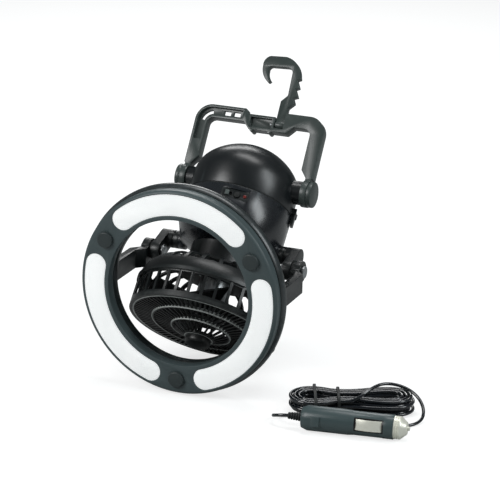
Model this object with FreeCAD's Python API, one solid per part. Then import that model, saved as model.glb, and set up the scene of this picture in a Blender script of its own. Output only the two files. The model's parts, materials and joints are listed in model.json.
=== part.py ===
import FreeCAD, Part
import math
import os

os.makedirs("parts", exist_ok=True)

# A camping fan with a ring light. All sizes are in millimetres and all angles in degrees.
# The ring light stands upright and faces the front. The fan leans back behind it.
# The origin is on the floor, below the middle of the object without its lead.

# Clearances
fit_gap = 0.05
loose_gap = 0.15
rub_gap = 0.3

# How the object stands
fan_tilt = 47.5
hinge_reach = 97.0
standing_flat = 0.8

# Ring light
ring_radius = 92.5
ring_depth = 18.7
ring_width = 28.0
ring_wall = 2.0
front_cover_step = 2.5
front_cover_depth = 10.2
front_edge = 2.0
rear_step = 0.5
rear_slope = 2.8
rear_edge = 1.7
lip_wall = 1.2
lip_length = 1.4
window_inner_rim = 3.7
window_outer_rim = 3.1
window_gap_angle = 11.8
lens_recess = 0.4
lens_flange = 0.8
lens_flange_thickness = 1.2
ring_boss_radius = 4.5
ring_screw_radius = 1.5
ring_screw_head_radius = 2.8
ring_screw_head_height = 1.5
ring_screw_bite = 4.4
board_thickness = 1.6
board_depth = 8.4
led_size = 5.0
led_height = 1.4
leds_per_lens = 6
led_spread = 36.0
foot_circle_inset = 15.5
foot_radius = 7.2
foot_height = 3.0
foot_round = 0.8
foot_stud_radius = 2.4
foot_stud_length = 3.0

# Arms between the ring light and the hinge
arm_inset = 17.5
arm_thickness = 7.0
arm_crank = 7.0
arm_crank_start = 80.0
arm_top = 4.5
arm_bottom = -12.5
arm_eye_radius = 9.5
arm_pad_width = 14.0
arm_pad_thickness = 2.5
arm_pad_margin = 8.0
arm_screw_margin = 4.0
arm_screw_bite = 4.7
hinge_pin_radius = 3.0
hinge_head_radius = 5.5
hinge_head_height = 2.5
hinge_nut_height = 2.5
washer_radius = 8.0
washer_thickness = 2.0

# Brackets on the housing that carry the hinge
bracket_thickness = 7.5
bracket_eye_radius = 9.0
barrel_radius = 8.0
barrel_back = 8.8
barrel_up = 16.2
barrel_groove = 1.0
barrel_groove_width = 1.6
barrel_groove_place = 6.0
bracket_screw_spacing = 8.0
bracket_screw_bite = 12.0

# Battery housing
housing_radius = 47.5
housing_wall = 2.4
housing_base_height = 6.0
housing_base_radius = 30.0
taper_radius = 42.0
taper_height = 10.0
straight_height = 24.0
seam_height = 53.0
seal_thickness = 1.2
seal_wall = 1.6
seal_inset = 0.6
cradle_height = 20.0
cradle_radius = 42.3
cradle_floor = 2.4
cradle_wall = 1.6
cradle_wall_reach = 36.0
cradle_wall_height = 8.0
cell_radius = 17.1
cell_gap = 0.3
cell_height = 61.5
contact_stud_radius = 4.5
contact_plate_size = 12.0
contact_plate_thickness = 0.6
contact_spring_height = 2.0
wire_hole_radius = 5.0

# Battery cap
cap_straight_height = 72.0
dome_height = 36.5
dome_side_radius = 28.0
cap_lip_wall = 1.6
cap_lip_length = 2.4
cap_post_radius = 3.0
cap_post_circle = 25.0
cap_plate_radius = 36.0
cap_plate_thickness = 1.6
cap_strip_width = 12.0
cap_strip_length = 48.0
handle_pivot_height = 73.5
handle_boss_radius = 10.5
handle_boss_reach = 54.5

# Catch that joins the cap and the housing
catch_angle = 14.4
catch_width = 10.0
catch_thickness = 2.6
catch_bottom = 46.5
catch_hinge_height = 58.0
catch_barrel_radius = 1.6
catch_pin_radius = 0.8
catch_ear_thickness = 2.0
catch_ear_drop = 2.5

# Switch panel on the front of the housing
panel_angle = -75.4
panel_width = 24.0
panel_height = 9.0
panel_thickness = 2.0
panel_middle = 44.0
panel_face = 46.3
panel_backing = 2.3
panel_rim = 1.1
switch_slot_place = -5.5
switch_slot_length = 6.0
switch_slot_height = 3.0
switch_stem_length = 3.0
switch_knob_length = 3.6
switch_knob_height = 4.2
switch_knob_proud = 1.9
button_place = 2.0
button_radius = 2.6
button_travel = 0.8
button_proud = 1.2
lamp_place = 9.0
lamp_radius = 1.5
lamp_proud = 0.5

# Supply socket on the back of the housing
socket_height = 34.0
socket_boss_radius = 7.5
socket_face = 48.8
socket_flange_radius = 6.5
socket_flange_thickness = 1.2
socket_body_radius = 5.0
socket_inner_end = 37.0
socket_bore_radius = 2.8
socket_floor = 2.5
socket_pin_radius = 1.0
socket_pin_recess = 1.0

# Fan cage
cage_radius = 66.0
cage_wall = 2.0
cage_straight_length = 22.0
cage_shoulder_radius = 40.0
cage_bead = 0.8
cage_bead_width = 3.0
neck_radius = 30.0
side_slots = 36
side_rib = 2.5
shoulder_slots = 24
shoulder_rib = 3.4
slot_margin = 2.0
cage_boss_circle = 22.0
cage_boss_radius = 3.6
cage_screw_radius = 1.25
cage_screw_head_radius = 2.6
cage_screw_head_height = 1.4
cage_screw_bite = 11.0

# Front guard
guard_rim_width = 4.0
guard_rim_depth = 2.98
guard_lip_length = 3.0
guard_depth = 2.2
guard_ring_width = 2.2
guard_ring_proud = 0.6
guard_rib = 1.5
outer_spokes = 80
middle_spokes = 48
inner_spokes = 24
second_ring_radius = 44.2
second_ring_rise = 1.4
third_ring_radius = 25.9
third_ring_rise = 4.3
hub_ring_radius = 12.0
hub_ring_rise = 11.0
hub_cap_radius = 11.4
hub_cap_skirt = 3.0
hub_cap_height = 8.5
hub_cap_side_radius = 4.0
hub_stem_radius = 3.0

# Motor and impeller
motor_radius = 14.0
motor_length = 30.0
motor_plate_radius = 18.0
motor_plate_thickness = 1.2
motor_nose_radius = 4.5
motor_nose_length = 1.5
motor_screw_radius = 1.2
motor_screw_head_radius = 2.4
motor_screw_head_height = 1.2
motor_screw_circle = 8.0
motor_screw_bite = 5.0
shaft_radius = 1.5
shaft_bite = 28.0
shaft_nose = 2.0
impeller_radius = 56.0
impeller_setback = 2.0
impeller_length = 18.0
impeller_face = 3.0
impeller_hub_radius = 16.0
impeller_hub_wall = 1.4
impeller_boss_radius = 4.0
impeller_boss_length = 8.0
blade_count = 5
blade_thickness = 1.6
blade_root_radius = 10.0
blade_root_chord = 22.0
blade_root_pitch = 45.0
blade_tip_chord = 38.0
blade_tip_pitch = 24.0

# Carrying handle, in its own plane: across the fan and up from its pivots
handle_lean = 8.5
handle_half_width = 61.5
handle_top = 69.6
handle_depth = 10.0
handle_bar = 12.0
handle_corner = 15.0
handle_inner_corner = 6.0
handle_leg_bottom = 13.0
handle_leg_chamfer = 7.0
handle_eye_radius = 12.0
handle_eye_inside = 55.0
handle_eye_thickness = 5.5
handle_block_left = -15.0
handle_block_right = 33.0
handle_block_top = 65.0
handle_block_bottom = 51.0
handle_slope = 6.0
handle_recess = 3.5
handle_rim = 2.4
channel_bottom = 36.0
corner_slot_width = 3.4
corner_slot_start = 100.0
corner_slot_end = 168.0
bar_hole_length = 6.5
bar_hole_height = 4.0
bar_hole_places = (-33.0, -23.8)
lug_places = (-6.0, 11.0)
lug_radius = 1.9
handle_pin_radius = 3.0
handle_pin_head_radius = 6.0
handle_pin_head_height = 1.8
handle_pin_bite = 7.0
handle_cap_radius = 11.5
handle_cap_height = 4.5
handle_cap_bore = 7.5

# Hanging hook, in the handle's plane
hook_depth = 6.0
hook_left = 14.3
hook_right = 22.7
hook_eye_radius = 4.0
hook_pin_radius = 1.6
hook_pin_height = 59.0
hook_pin_reach = 5.5

# Car plug, along its own axis from its rear end
plug_place_x = 124.0
plug_place_y = -22.0
plug_turn = 9.0
plug_roll = 15.0
plug_radius = 10.5
plug_wall = 2.2
plug_length = 77.0
plug_tail_radius = 8.6
plug_tail_length = 5.0
plug_waist_radius = 10.0
plug_waist_start = 44.0
plug_collar_radius = 10.2
plug_collar_length = 8.6
plug_bore_start = 30.0
plug_lug_place = 9.0
plug_lug_length = 7.0
plug_lug_proud = 1.2
side_contact_start = 46.0
side_contact_length = 22.0
side_contact_height = 9.0
side_contact_thickness = 1.2
side_contact_bow = 1.6
side_contact_travel = 0.8
nose_length = 6.0
nose_radius = 9.6
nose_bore_radius = 4.6
nose_dome_length = 5.0
nose_dome_radius = 5.4
tip_radius = 4.4
tip_pin_radius = 1.8
tip_reach = 90.0
tip_travel = 1.5
fuse_radius = 3.1
fuse_length = 30.0
relief_radius = 3.6
relief_end_radius = 2.6
relief_length = 12.0
relief_bite = 8.0

# Lead
cord_radius = 1.4
hank_x = 139.5
hank_y = 30.2
hank_turn = 23.4
hank_left_run = 26.0
hank_right_run = 42.0
hank_step = 3.7
hank_draw = 6.0
hank_inner_half = 1.6
hank_layers = 4
loops_per_layer = 3
layer_height = 3.3
tie_thickness = 1.2
tie_width = 2.6
tie_gap = 0.4
waist_tie_place = -3.4
left_tie_place = -23.0
supply_plug_x = 178.0
supply_plug_y = 8.5
supply_plug_turn = 189.0
supply_plug_radius = 5.0
supply_plug_length = 22.0
supply_plug_chamfer = 1.0
supply_relief_radius = 2.6
supply_relief_length = 7.0
supply_barrel_radius = 2.75
supply_barrel_bore = 1.05
supply_barrel_length = 9.5

# Sizes that follow from the ones above
ring_height = ring_radius - standing_flat
ring_hole_radius = ring_radius - ring_width
front_cover_radius = ring_radius - front_cover_step
window_inner_radius = ring_hole_radius + window_inner_rim
window_outer_radius = front_cover_radius - window_outer_rim
foot_circle_radius = ring_radius - foot_circle_inset
arm_inside = ring_radius - arm_inset
lean = math.radians(fan_tilt)
guard_face = (ring_height + standing_flat - cage_radius * math.cos(lean)) / math.sin(lean)
guard_face_height = -guard_face
cage_front = guard_face_height + guard_rim_depth
cage_shoulder_height = cage_front + cage_straight_length
impeller_front = cage_front + impeller_setback
hinge_inside = arm_inside - arm_crank
hinge_outside = hinge_inside + arm_thickness
washer_inside = hinge_inside - washer_thickness
bracket_inside = washer_inside - bracket_thickness
housing_inner_radius = housing_radius - housing_wall
body_top = seam_height - seal_thickness / 2
cap_bottom = seam_height + seal_thickness / 2
barrel_seat = housing_radius + rub_gap
cell_place = cell_radius + cell_gap + cradle_wall / 2
cage_inner_radius = cage_radius - cage_wall
shoulder_curve = cage_radius - cage_shoulder_radius
web_top = cage_shoulder_height + shoulder_curve
web_bottom = web_top - cage_wall
motor_back = web_bottom - motor_plate_thickness
motor_front = motor_back - motor_length
impeller_back = impeller_front + impeller_length
handle_inner_half = handle_half_width - handle_bar
handle_inner_top = handle_top - handle_bar
handle_eye_outside = handle_eye_inside + handle_eye_thickness
collar_start = plug_length - plug_collar_length
foot_angles = (30, 150, 270)
lens_angles = {"lens_top": 90, "lens_left": 210, "lens_right": 330}
sides = {"left": -1, "right": 1}

ORIGIN = FreeCAD.Vector(0, 0, 0)
X_AXIS = FreeCAD.Vector(1, 0, 0)
Y_AXIS = FreeCAD.Vector(0, 1, 0)
Z_AXIS = FreeCAD.Vector(0, 0, 1)


def point(x, y, z):
    return FreeCAD.Vector(x, y, z)


def block(x0, x1, y0, y1, z0, z1):
    """Box between two opposite corners, whichever way round they are given."""
    low = point(min(x0, x1), min(y0, y1), min(z0, z1))
    return Part.makeBox(abs(x1 - x0), abs(y1 - y0), abs(z1 - z0), low)


def rod_x(radius, x0, x1, y=0.0, z=0.0):
    return Part.makeCylinder(radius, abs(x1 - x0), point(min(x0, x1), y, z), X_AXIS)


def rod_y(radius, y0, y1, x=0.0, z=0.0):
    return Part.makeCylinder(radius, abs(y1 - y0), point(x, min(y0, y1), z), Y_AXIS)


def rod_z(radius, z0, z1, x=0.0, y=0.0):
    return Part.makeCylinder(radius, abs(z1 - z0), point(x, y, min(z0, z1)), Z_AXIS)


def across_z(a, b):
    return point(a, 0, b)


def across_y(a, b):
    return point(a, b, 0)


def closed_face(steps, place):
    """Face inside an outline. A step of two numbers is a line to that place,
    and one of four numbers is an arc through the first place to the second."""
    here = steps[0][-2:]
    edges = []
    for step in steps[1:] + steps[:1]:
        end = step[-2:]
        if len(step) == 4:
            curve = Part.Arc(place(*here), place(*step[:2]), place(*end))
        else:
            curve = Part.LineSegment(place(*here), place(*end))
        edges.append(curve.toShape())
        here = end
    return Part.Face(Part.Wire(edges))


def turned_z(steps):
    """Solid turned about the Z axis from (radius, height) steps."""
    return closed_face(steps, across_z).revolve(ORIGIN, Z_AXIS, 360)


def turned_y(steps):
    """Solid turned about the Y axis from (radius, depth) steps."""
    return closed_face(steps, across_y).revolve(ORIGIN, Y_AXIS, 360)


def turned_x(steps):
    """Solid turned about the X axis from (place along X, radius) steps."""
    return closed_face(steps, across_y).revolve(ORIGIN, X_AXIS, 360)


def plate_xz(steps, y0, y1):
    """Plate with an outline in X and Z, from y0 to y1."""
    face = closed_face(steps, across_z)
    face.translate(point(0, y0, 0))
    return face.extrude(point(0, y1 - y0, 0))


def ring_z(outer, inner, z0, z1):
    return rod_z(outer, z0, z1).cut(rod_z(inner, z0, z1))


def turned(shape, angle, axis=Z_AXIS, centre=ORIGIN):
    copy = shape.copy()
    copy.rotate(centre, axis, angle)
    return copy


def moved(shape, x, y, z):
    copy = shape.copy()
    copy.translate(point(x, y, z))
    return copy


def around(shape, count, first=0.0):
    """Copies of a shape spaced evenly about the Z axis."""
    return [turned(shape, first + 360.0 * index / count) for index in range(count)]


def on_ring(radius, angle):
    """X and Z of a place on the ring light, by its angle from the right, seen from the front."""
    turn = math.radians(angle)
    return radius * math.cos(turn), radius * math.sin(turn)


def place_ring(shape):
    return moved(shape, 0, 0, ring_height)


def fan_placement():
    return FreeCAD.Placement(point(0, hinge_reach, ring_height), FreeCAD.Rotation(X_AXIS, fan_tilt - 90))


def handle_placement():
    lift = FreeCAD.Placement(point(0, 0, handle_pivot_height), FreeCAD.Rotation(X_AXIS, handle_lean))
    return fan_placement().multiply(lift)


def plug_placement():
    turn = FreeCAD.Rotation(Z_AXIS, plug_turn)
    roll = FreeCAD.Rotation(X_AXIS, -plug_roll)
    return FreeCAD.Placement(point(plug_place_x, plug_place_y, plug_radius), turn.multiply(roll))


def hank_placement():
    return FreeCAD.Placement(point(hank_x, hank_y, 0), FreeCAD.Rotation(Z_AXIS, hank_turn))


def supply_plug_placement():
    turn = FreeCAD.Rotation(Z_AXIS, supply_plug_turn)
    return FreeCAD.Placement(point(supply_plug_x, supply_plug_y, supply_plug_radius), turn)


def placed(shape, placement):
    copy = shape.copy()
    copy.Placement = placement.multiply(shape.Placement)
    return copy


def write(name, shapes):
    """Write one node, moved so that the origin is below the middle of the object."""
    if not isinstance(shapes, list):
        shapes = [shapes]
    solids = []
    for shape in shapes:
        solids.extend(moved(shape, 0, -middle_depth, 0).Solids)
    for solid in solids:
        if not solid.isValid():
            print("not valid:", name)
    group = solids[0] if len(solids) == 1 else Part.Compound(solids)
    group.exportStep("parts/" + name + ".step")


def write_fan(name, shapes):
    if not isinstance(shapes, list):
        shapes = [shapes]
    write(name, [placed(shape, fan_placement()) for shape in shapes])


def write_handle(name, shapes):
    if not isinstance(shapes, list):
        shapes = [shapes]
    write(name, [placed(shape, handle_placement()) for shape in shapes])


# Ring light

def ring_sector(inner, outer, half_angle, y0, y1, angle):
    """Curved slot shape with round ends, about an angle on the ring."""
    face = closed_face([(inner, y0), (outer, y0), (outer, y1), (inner, y1)], across_y)
    start = turned(face, -half_angle, point(0, -1, 0))
    shape = start.revolve(ORIGIN, point(0, -1, 0), 2 * half_angle)
    middle = (inner + outer) / 2
    for end in (-half_angle, half_angle):
        x, z = on_ring(middle, end)
        shape = shape.fuse(rod_y((outer - inner) / 2, y0, y1, x, z))
    return turned(shape.removeSplitter(), angle, point(0, -1, 0))


def window_half_angle():
    end_radius = (window_outer_radius - window_inner_radius) / 2
    middle = (window_outer_radius + window_inner_radius) / 2
    return 60.0 - window_gap_angle - math.degrees(math.asin(end_radius / middle))


def ring_front_cover():
    cover = turned_y([
        (ring_hole_radius, 0), (front_cover_radius - front_edge, 0),
        (front_cover_radius, front_edge), (front_cover_radius, front_cover_depth),
        (ring_hole_radius, front_cover_depth)])
    inside = ring_hole_radius + ring_wall
    outside = front_cover_radius - ring_wall
    cavity = turned_y([
        (inside, ring_wall), (outside, ring_wall),
        (outside, front_cover_depth), (inside, front_cover_depth)])
    cover = cover.cut(cavity)
    for angle in foot_angles:
        x, z = on_ring(foot_circle_radius, angle)
        cover = cover.fuse(rod_y(ring_boss_radius, ring_wall, board_depth, x, z))
        foot_hole = rod_y(foot_stud_radius + fit_gap, 0, foot_stud_length + loose_gap, x, z)
        pilot = rod_y(ring_screw_radius + fit_gap, board_depth - ring_screw_bite, board_depth, x, z)
        cover = cover.cut(foot_hole).cut(pilot)
    for angle in lens_angles.values():
        window = ring_sector(window_inner_radius, window_outer_radius,
                             window_half_angle(), 0, ring_wall, angle)
        cover = cover.cut(window)
    return cover


def lens(angle):
    plug = ring_sector(window_inner_radius + loose_gap, window_outer_radius - loose_gap,
                       window_half_angle(), lens_recess, ring_wall, angle)
    flange = ring_sector(window_inner_radius - lens_flange, window_outer_radius + lens_flange,
                         window_half_angle(), ring_wall, ring_wall + lens_flange_thickness, angle)
    return plug.fuse(flange)


def lip_outer_radius():
    return front_cover_radius - ring_wall - loose_gap


def led_board():
    outside = lip_outer_radius() - lip_wall - loose_gap
    inside = ring_hole_radius + ring_wall + rub_gap
    back = board_depth + board_thickness
    board = turned_y([(inside, board_depth), (outside, board_depth), (outside, back), (inside, back)])
    for angle in foot_angles:
        x, z = on_ring(foot_circle_radius, angle)
        board = board.cut(rod_y(ring_screw_radius + loose_gap, board_depth, back, x, z))
    return board


def leds():
    middle = (window_inner_radius + window_outer_radius) / 2
    chips = []
    for angle in lens_angles.values():
        for index in range(leds_per_lens):
            spot = angle - led_spread + 2 * led_spread * index / (leds_per_lens - 1)
            chip = block(middle - led_size / 2, middle + led_size / 2, board_depth - led_height,
                         board_depth, -led_size / 2, led_size / 2)
            chips.append(turned(chip, spot, point(0, -1, 0)))
    return chips


def arm_screw_heights():
    return arm_top + arm_screw_margin, arm_bottom - arm_screw_margin


def ring_rear_cover():
    seam = front_cover_depth
    back = ring_depth
    seam_radius = front_cover_radius + rear_step
    cover = turned_y([
        (ring_hole_radius, seam), (seam_radius, seam), (ring_radius, seam + rear_slope),
        (ring_radius, back - rear_edge), (ring_radius - rear_edge, back), (ring_hole_radius, back)])
    inside = ring_hole_radius + ring_wall
    outside = front_cover_radius - ring_wall
    floor = back - ring_wall
    cover = cover.cut(turned_y([(inside, seam), (outside, seam), (outside, floor), (inside, floor)]))
    lip = turned_y([
        (lip_outer_radius() - lip_wall, seam - lip_length), (lip_outer_radius(), seam - lip_length),
        (lip_outer_radius(), seam), (outside, seam), (outside, seam + ring_wall),
        (lip_outer_radius() - lip_wall, seam + ring_wall)])
    cover = cover.fuse(lip)
    head_floor = back - ring_screw_head_height - loose_gap
    for angle in foot_angles:
        x, z = on_ring(foot_circle_radius, angle)
        cover = cover.fuse(rod_y(ring_boss_radius, board_depth + board_thickness, floor, x, z))
        cover = cover.cut(rod_y(ring_screw_radius + loose_gap, board_depth, back, x, z))
        cover = cover.cut(rod_y(ring_screw_head_radius + rub_gap, head_floor, back, x, z))
    for side in sides.values():
        x = side * (arm_inside + arm_thickness / 2)
        for z in arm_screw_heights():
            end = back - arm_screw_bite
            cover = cover.fuse(rod_y(ring_boss_radius, end - ring_wall, floor, x, z))
            cover = cover.cut(rod_y(ring_screw_radius + fit_gap, end, back, x, z))
    flat = block(-ring_radius, ring_radius, 0, 2 * ring_depth, -2 * ring_radius, -ring_height)
    return cover.cut(flat)


def ring_feet():
    feet = []
    for angle in foot_angles:
        x, z = on_ring(foot_circle_radius, angle)
        edge = foot_radius - foot_round
        top = -foot_height
        disc = turned_y([(0, top), (edge, top), (foot_radius, top + foot_round), (foot_radius, 0), (0, 0)])
        foot = disc.fuse(rod_y(foot_stud_radius, 0, foot_stud_length))
        feet.append(moved(foot, x, 0, z))
    return feet


def ring_screws():
    screws = []
    head = ring_depth - ring_screw_head_height
    tip = board_depth - ring_screw_bite + loose_gap
    for angle in foot_angles:
        x, z = on_ring(foot_circle_radius, angle)
        screw = rod_y(ring_screw_radius, tip, head - loose_gap, x, z)
        flange = rod_y(ring_screw_head_radius, head - loose_gap, ring_depth - loose_gap, x, z)
        screws.append(screw.fuse(flange))
    return screws


# Arms and hinge

def ring_arm(side):
    outside = arm_inside + arm_thickness
    slope_end = arm_crank_start + arm_crank
    top_view = closed_face([
        (arm_inside, ring_depth), (outside, ring_depth), (outside, arm_crank_start),
        (hinge_outside, slope_end), (hinge_outside, hinge_reach + arm_eye_radius),
        (hinge_inside, hinge_reach + arm_eye_radius), (hinge_inside, slope_end - arm_crank / 2),
        (arm_inside, arm_crank_start - arm_crank / 2)], across_y)
    top_view.translate(point(0, 0, -ring_radius))
    arm = top_view.extrude(point(0, 0, 2 * ring_radius))
    side_view = closed_face([
        (ring_depth, arm_bottom), (ring_depth, arm_top), (hinge_reach - arm_eye_radius, arm_top),
        (hinge_reach, arm_eye_radius), (hinge_reach, -arm_eye_radius),
        (hinge_reach - arm_eye_radius, arm_bottom)], lambda y, z: point(0, y, z))
    profile = side_view.extrude(point(ring_radius, 0, 0))
    profile = profile.fuse(rod_x(arm_eye_radius, 0, ring_radius, hinge_reach, 0))
    arm = arm.common(profile)
    middle = (arm_inside + outside) / 2
    pad = block(middle - arm_pad_width / 2, middle + arm_pad_width / 2, ring_depth,
                ring_depth + arm_pad_thickness, arm_bottom - arm_pad_margin, arm_top + arm_pad_margin)
    arm = arm.fuse(pad)
    for z in arm_screw_heights():
        arm = arm.cut(rod_y(ring_screw_radius + loose_gap, 0, ring_depth + arm_pad_thickness, middle, z))
    arm = arm.cut(rod_x(hinge_pin_radius + fit_gap, 0, ring_radius, hinge_reach, 0))
    arm = arm.removeSplitter()
    if side < 0:
        arm = arm.mirror(ORIGIN, X_AXIS)
    return arm


def arm_screws():
    screws = []
    seat = ring_depth + arm_pad_thickness
    for side in sides.values():
        x = side * (arm_inside + arm_thickness / 2)
        for z in arm_screw_heights():
            screw = rod_y(ring_screw_radius, ring_depth - arm_screw_bite + loose_gap, seat, x, z)
            head = rod_y(ring_screw_head_radius, seat, seat + ring_screw_head_height, x, z)
            screws.append(screw.fuse(head))
    return screws


def hinge_pins():
    pins = []
    head = hinge_outside + fit_gap
    for side in sides.values():
        pin = rod_x(hinge_pin_radius, side * (bracket_inside - hinge_nut_height), side * head)
        pins.append(pin.fuse(rod_x(hinge_head_radius, side * head, side * (head + hinge_head_height))))
    return pins


def hinge_nuts():
    nuts = []
    for side in sides.values():
        nut = rod_x(hinge_head_radius, side * bracket_inside, side * (bracket_inside - hinge_nut_height))
        nuts.append(nut.cut(rod_x(hinge_pin_radius + fit_gap, -ring_radius, ring_radius)))
    return nuts


def hinge_washers():
    washers = []
    for side in sides.values():
        washer = rod_x(washer_radius, side * washer_inside, side * hinge_inside)
        washers.append(washer.cut(rod_x(hinge_pin_radius + fit_gap, -ring_radius, ring_radius)))
    return washers


def pivot_bracket(side):
    """Bracket with its hinge eye on the fan's axis and its barrel on the housing."""
    distance = math.hypot(barrel_back, barrel_up)
    heading = math.atan2(barrel_up, barrel_back)
    spread = math.acos((bracket_eye_radius - barrel_radius) / distance)
    corners = []
    for radius, y, z, turn in (
            (bracket_eye_radius, 0, 0, spread), (barrel_radius, barrel_back, barrel_up, spread),
            (barrel_radius, barrel_back, barrel_up, -spread), (bracket_eye_radius, 0, 0, -spread)):
        corners.append((y + radius * math.cos(heading + turn), z + radius * math.sin(heading + turn)))
    link = closed_face(corners, lambda y, z: point(bracket_inside, y, z))
    shape = link.extrude(point(bracket_thickness, 0, 0))
    shape = shape.fuse(rod_x(bracket_eye_radius, bracket_inside, washer_inside))
    shape = shape.fuse(rod_x(barrel_radius, barrel_seat, washer_inside, barrel_back, barrel_up))
    start = barrel_seat + barrel_groove_place - barrel_groove_width
    groove = rod_x(barrel_radius, start, start + barrel_groove_width, barrel_back, barrel_up)
    core = rod_x(barrel_radius - barrel_groove, start, start + barrel_groove_width, barrel_back, barrel_up)
    shape = shape.cut(groove.cut(core))
    shape = shape.cut(rod_x(hinge_pin_radius + fit_gap, 0, ring_radius))
    for y in bracket_screw_places():
        end = barrel_seat + bracket_screw_bite
        shape = shape.cut(rod_x(ring_screw_radius + fit_gap, barrel_seat, end, y, barrel_up))
    if side < 0:
        shape = shape.mirror(ORIGIN, X_AXIS)
    return shape


def bracket_screw_places():
    return barrel_back - bracket_screw_spacing / 2, barrel_back + bracket_screw_spacing / 2


def bracket_screws():
    screws = []
    seat = cradle_radius + rub_gap
    for side in sides.values():
        for y in bracket_screw_places():
            end = barrel_seat + bracket_screw_bite - loose_gap
            screw = rod_x(ring_screw_radius, side * seat, side * end, y, barrel_up)
            head = rod_x(ring_screw_head_radius, side * (seat - ring_screw_head_height),
                         side * seat, y, barrel_up)
            screws.append(screw.fuse(head))
    return screws


# Battery housing

def panel_block(face, back, margin):
    """Box behind the switch panel's face, wider and taller than it by a margin."""
    half = panel_width / 2 + margin
    rise = panel_height / 2 + margin
    return block(back, face, -half, half, panel_middle - rise, panel_middle + rise)


def housing_body():
    outer = turned_z([
        (0, housing_base_height), (housing_base_radius, housing_base_height),
        (taper_radius, taper_height), (housing_radius, straight_height),
        (housing_radius, body_top), (0, body_top)])
    wall = housing_wall
    cavity = turned_z([
        (0, housing_base_height + wall), (housing_base_radius, housing_base_height + wall),
        (taper_radius - wall, taper_height + wall), (housing_inner_radius, straight_height + wall),
        (housing_inner_radius, body_top), (0, body_top)])
    body = outer.cut(cavity)
    backing = panel_face - panel_thickness - panel_backing
    pad = panel_block(housing_radius, backing, panel_rim)
    pad = turned(pad, panel_angle).common(outer)
    body = body.fuse(pad)
    panel_room = panel_block(2 * housing_radius, panel_face - panel_thickness, loose_gap)
    body = body.cut(turned(panel_room, panel_angle))
    for side in sides.values():
        boss = rod_x(barrel_radius, side * (cradle_radius + rub_gap), side * barrel_seat,
                     barrel_back, barrel_up)
        body = body.fuse(boss)
        for y in bracket_screw_places():
            body = body.cut(rod_x(ring_screw_radius + loose_gap, 0, side * barrel_seat, y, barrel_up))
            head_room = rod_x(ring_screw_head_radius + rub_gap, side * neck_radius,
                              side * (cradle_radius + rub_gap), y, barrel_up)
            body = body.cut(head_room)
    socket_boss = rod_y(socket_boss_radius, housing_inner_radius - wall / 2, socket_face, 0, socket_height)
    body = body.fuse(socket_boss)
    body = body.cut(rod_y(socket_body_radius + loose_gap, socket_inner_end, socket_face, 0, socket_height))
    body = body.cut(rod_z(wire_hole_radius, 0, taper_height))
    for hole in around(rod_z(cage_screw_radius + loose_gap, 0, taper_height, cage_boss_circle), 3, 90):
        body = body.cut(hole)
    return body.removeSplitter()


def rounded_end(radius, height, side_radius, base, way=1):
    """Steps from the edge of a dome to its middle: a tight arc that runs on into a wide one."""
    reach = radius - side_radius
    wide = (reach * reach + height * height - side_radius * side_radius) / (2 * (height - side_radius))
    drop = wide - height
    meet = math.atan2(drop, reach)
    middle = (meet + math.pi / 2) / 2
    tight_middle = (reach + side_radius * math.cos(meet / 2), base + way * side_radius * math.sin(meet / 2))
    tight_end = (reach + side_radius * math.cos(meet), base + way * side_radius * math.sin(meet))
    wide_middle = (wide * math.cos(middle), base + way * (wide * math.sin(middle) - drop))
    return [tight_middle + tight_end, wide_middle + (0, base + way * height)]


def cap_dome(inset, bottom):
    """Solid inside the cap's outline, drawn in by an inset."""
    radius = housing_radius - inset
    arcs = rounded_end(radius, dome_height - inset, dome_side_radius - inset, cap_straight_height)
    return turned_z([(0, bottom), (radius, bottom), (radius, cap_straight_height)] + arcs)


def cap_post_bottom():
    cells_top = cradle_height + cradle_floor + contact_spring_height + contact_plate_thickness + cell_height
    return cells_top + contact_plate_thickness + cap_plate_thickness


def catch_radius():
    return housing_radius + rub_gap + catch_barrel_radius


def catch_ears():
    ears = []
    for side in (-1, 1):
        start = side * (catch_width / 2 + rub_gap)
        low = catch_hinge_height - catch_ear_drop
        high = catch_hinge_height + catch_ear_drop
        ear = block(housing_inner_radius, catch_radius() + catch_barrel_radius, start,
                    start + side * catch_ear_thickness, low, high)
        ears.append(turned(ear, catch_angle))
    return ears


def catch_pin(radius):
    reach = catch_width / 2 + rub_gap + catch_ear_thickness
    return turned(rod_y(radius, -reach, reach, catch_radius(), catch_hinge_height), catch_angle)


def battery_cap():
    outer = cap_dome(0, cap_bottom)
    bosses = rod_x(handle_boss_radius, -handle_boss_reach, handle_boss_reach, 0, handle_pivot_height)
    cap = outer.fuse(bosses)
    for ear in catch_ears():
        cap = cap.fuse(ear)
    cap = cap.cut(cap_dome(housing_wall, cap_bottom))
    lip_radius = housing_inner_radius - loose_gap
    lip_bottom = body_top - cap_lip_length
    lip = ring_z(lip_radius, lip_radius - cap_lip_wall, lip_bottom, cap_bottom)
    shelf = ring_z(housing_radius - seal_inset - seal_wall, lip_radius - cap_lip_wall,
                   cap_bottom, cap_bottom + housing_wall)
    cap = cap.fuse(lip).fuse(shelf)
    post_end = cap_dome(housing_wall / 2, cap_bottom)
    for post in around(rod_z(cap_post_radius, cap_post_bottom(), cap_straight_height + dome_height,
                             cap_post_circle), 3, 90):
        cap = cap.fuse(post.common(post_end))
    for side in sides.values():
        hole = rod_x(handle_pin_radius + fit_gap, side * (handle_boss_reach - handle_pin_bite),
                     side * handle_boss_reach, 0, handle_pivot_height)
        cap = cap.cut(hole)
    return cap.cut(catch_pin(catch_pin_radius + fit_gap)).removeSplitter()


def cap_seal():
    outside = housing_radius - seal_inset
    return ring_z(outside, outside - seal_wall, body_top, cap_bottom)


def cap_plate():
    top = cap_post_bottom()
    return rod_z(cap_plate_radius, top - cap_plate_thickness, top)


def cap_contacts():
    top = cap_post_bottom() - cap_plate_thickness
    strips = []
    for side in sides.values():
        x = side * cell_place
        strips.append(block(x - cap_strip_width / 2, x + cap_strip_width / 2, -cap_strip_length / 2,
                            cap_strip_length / 2, top - contact_plate_thickness, top))
    return strips


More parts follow.
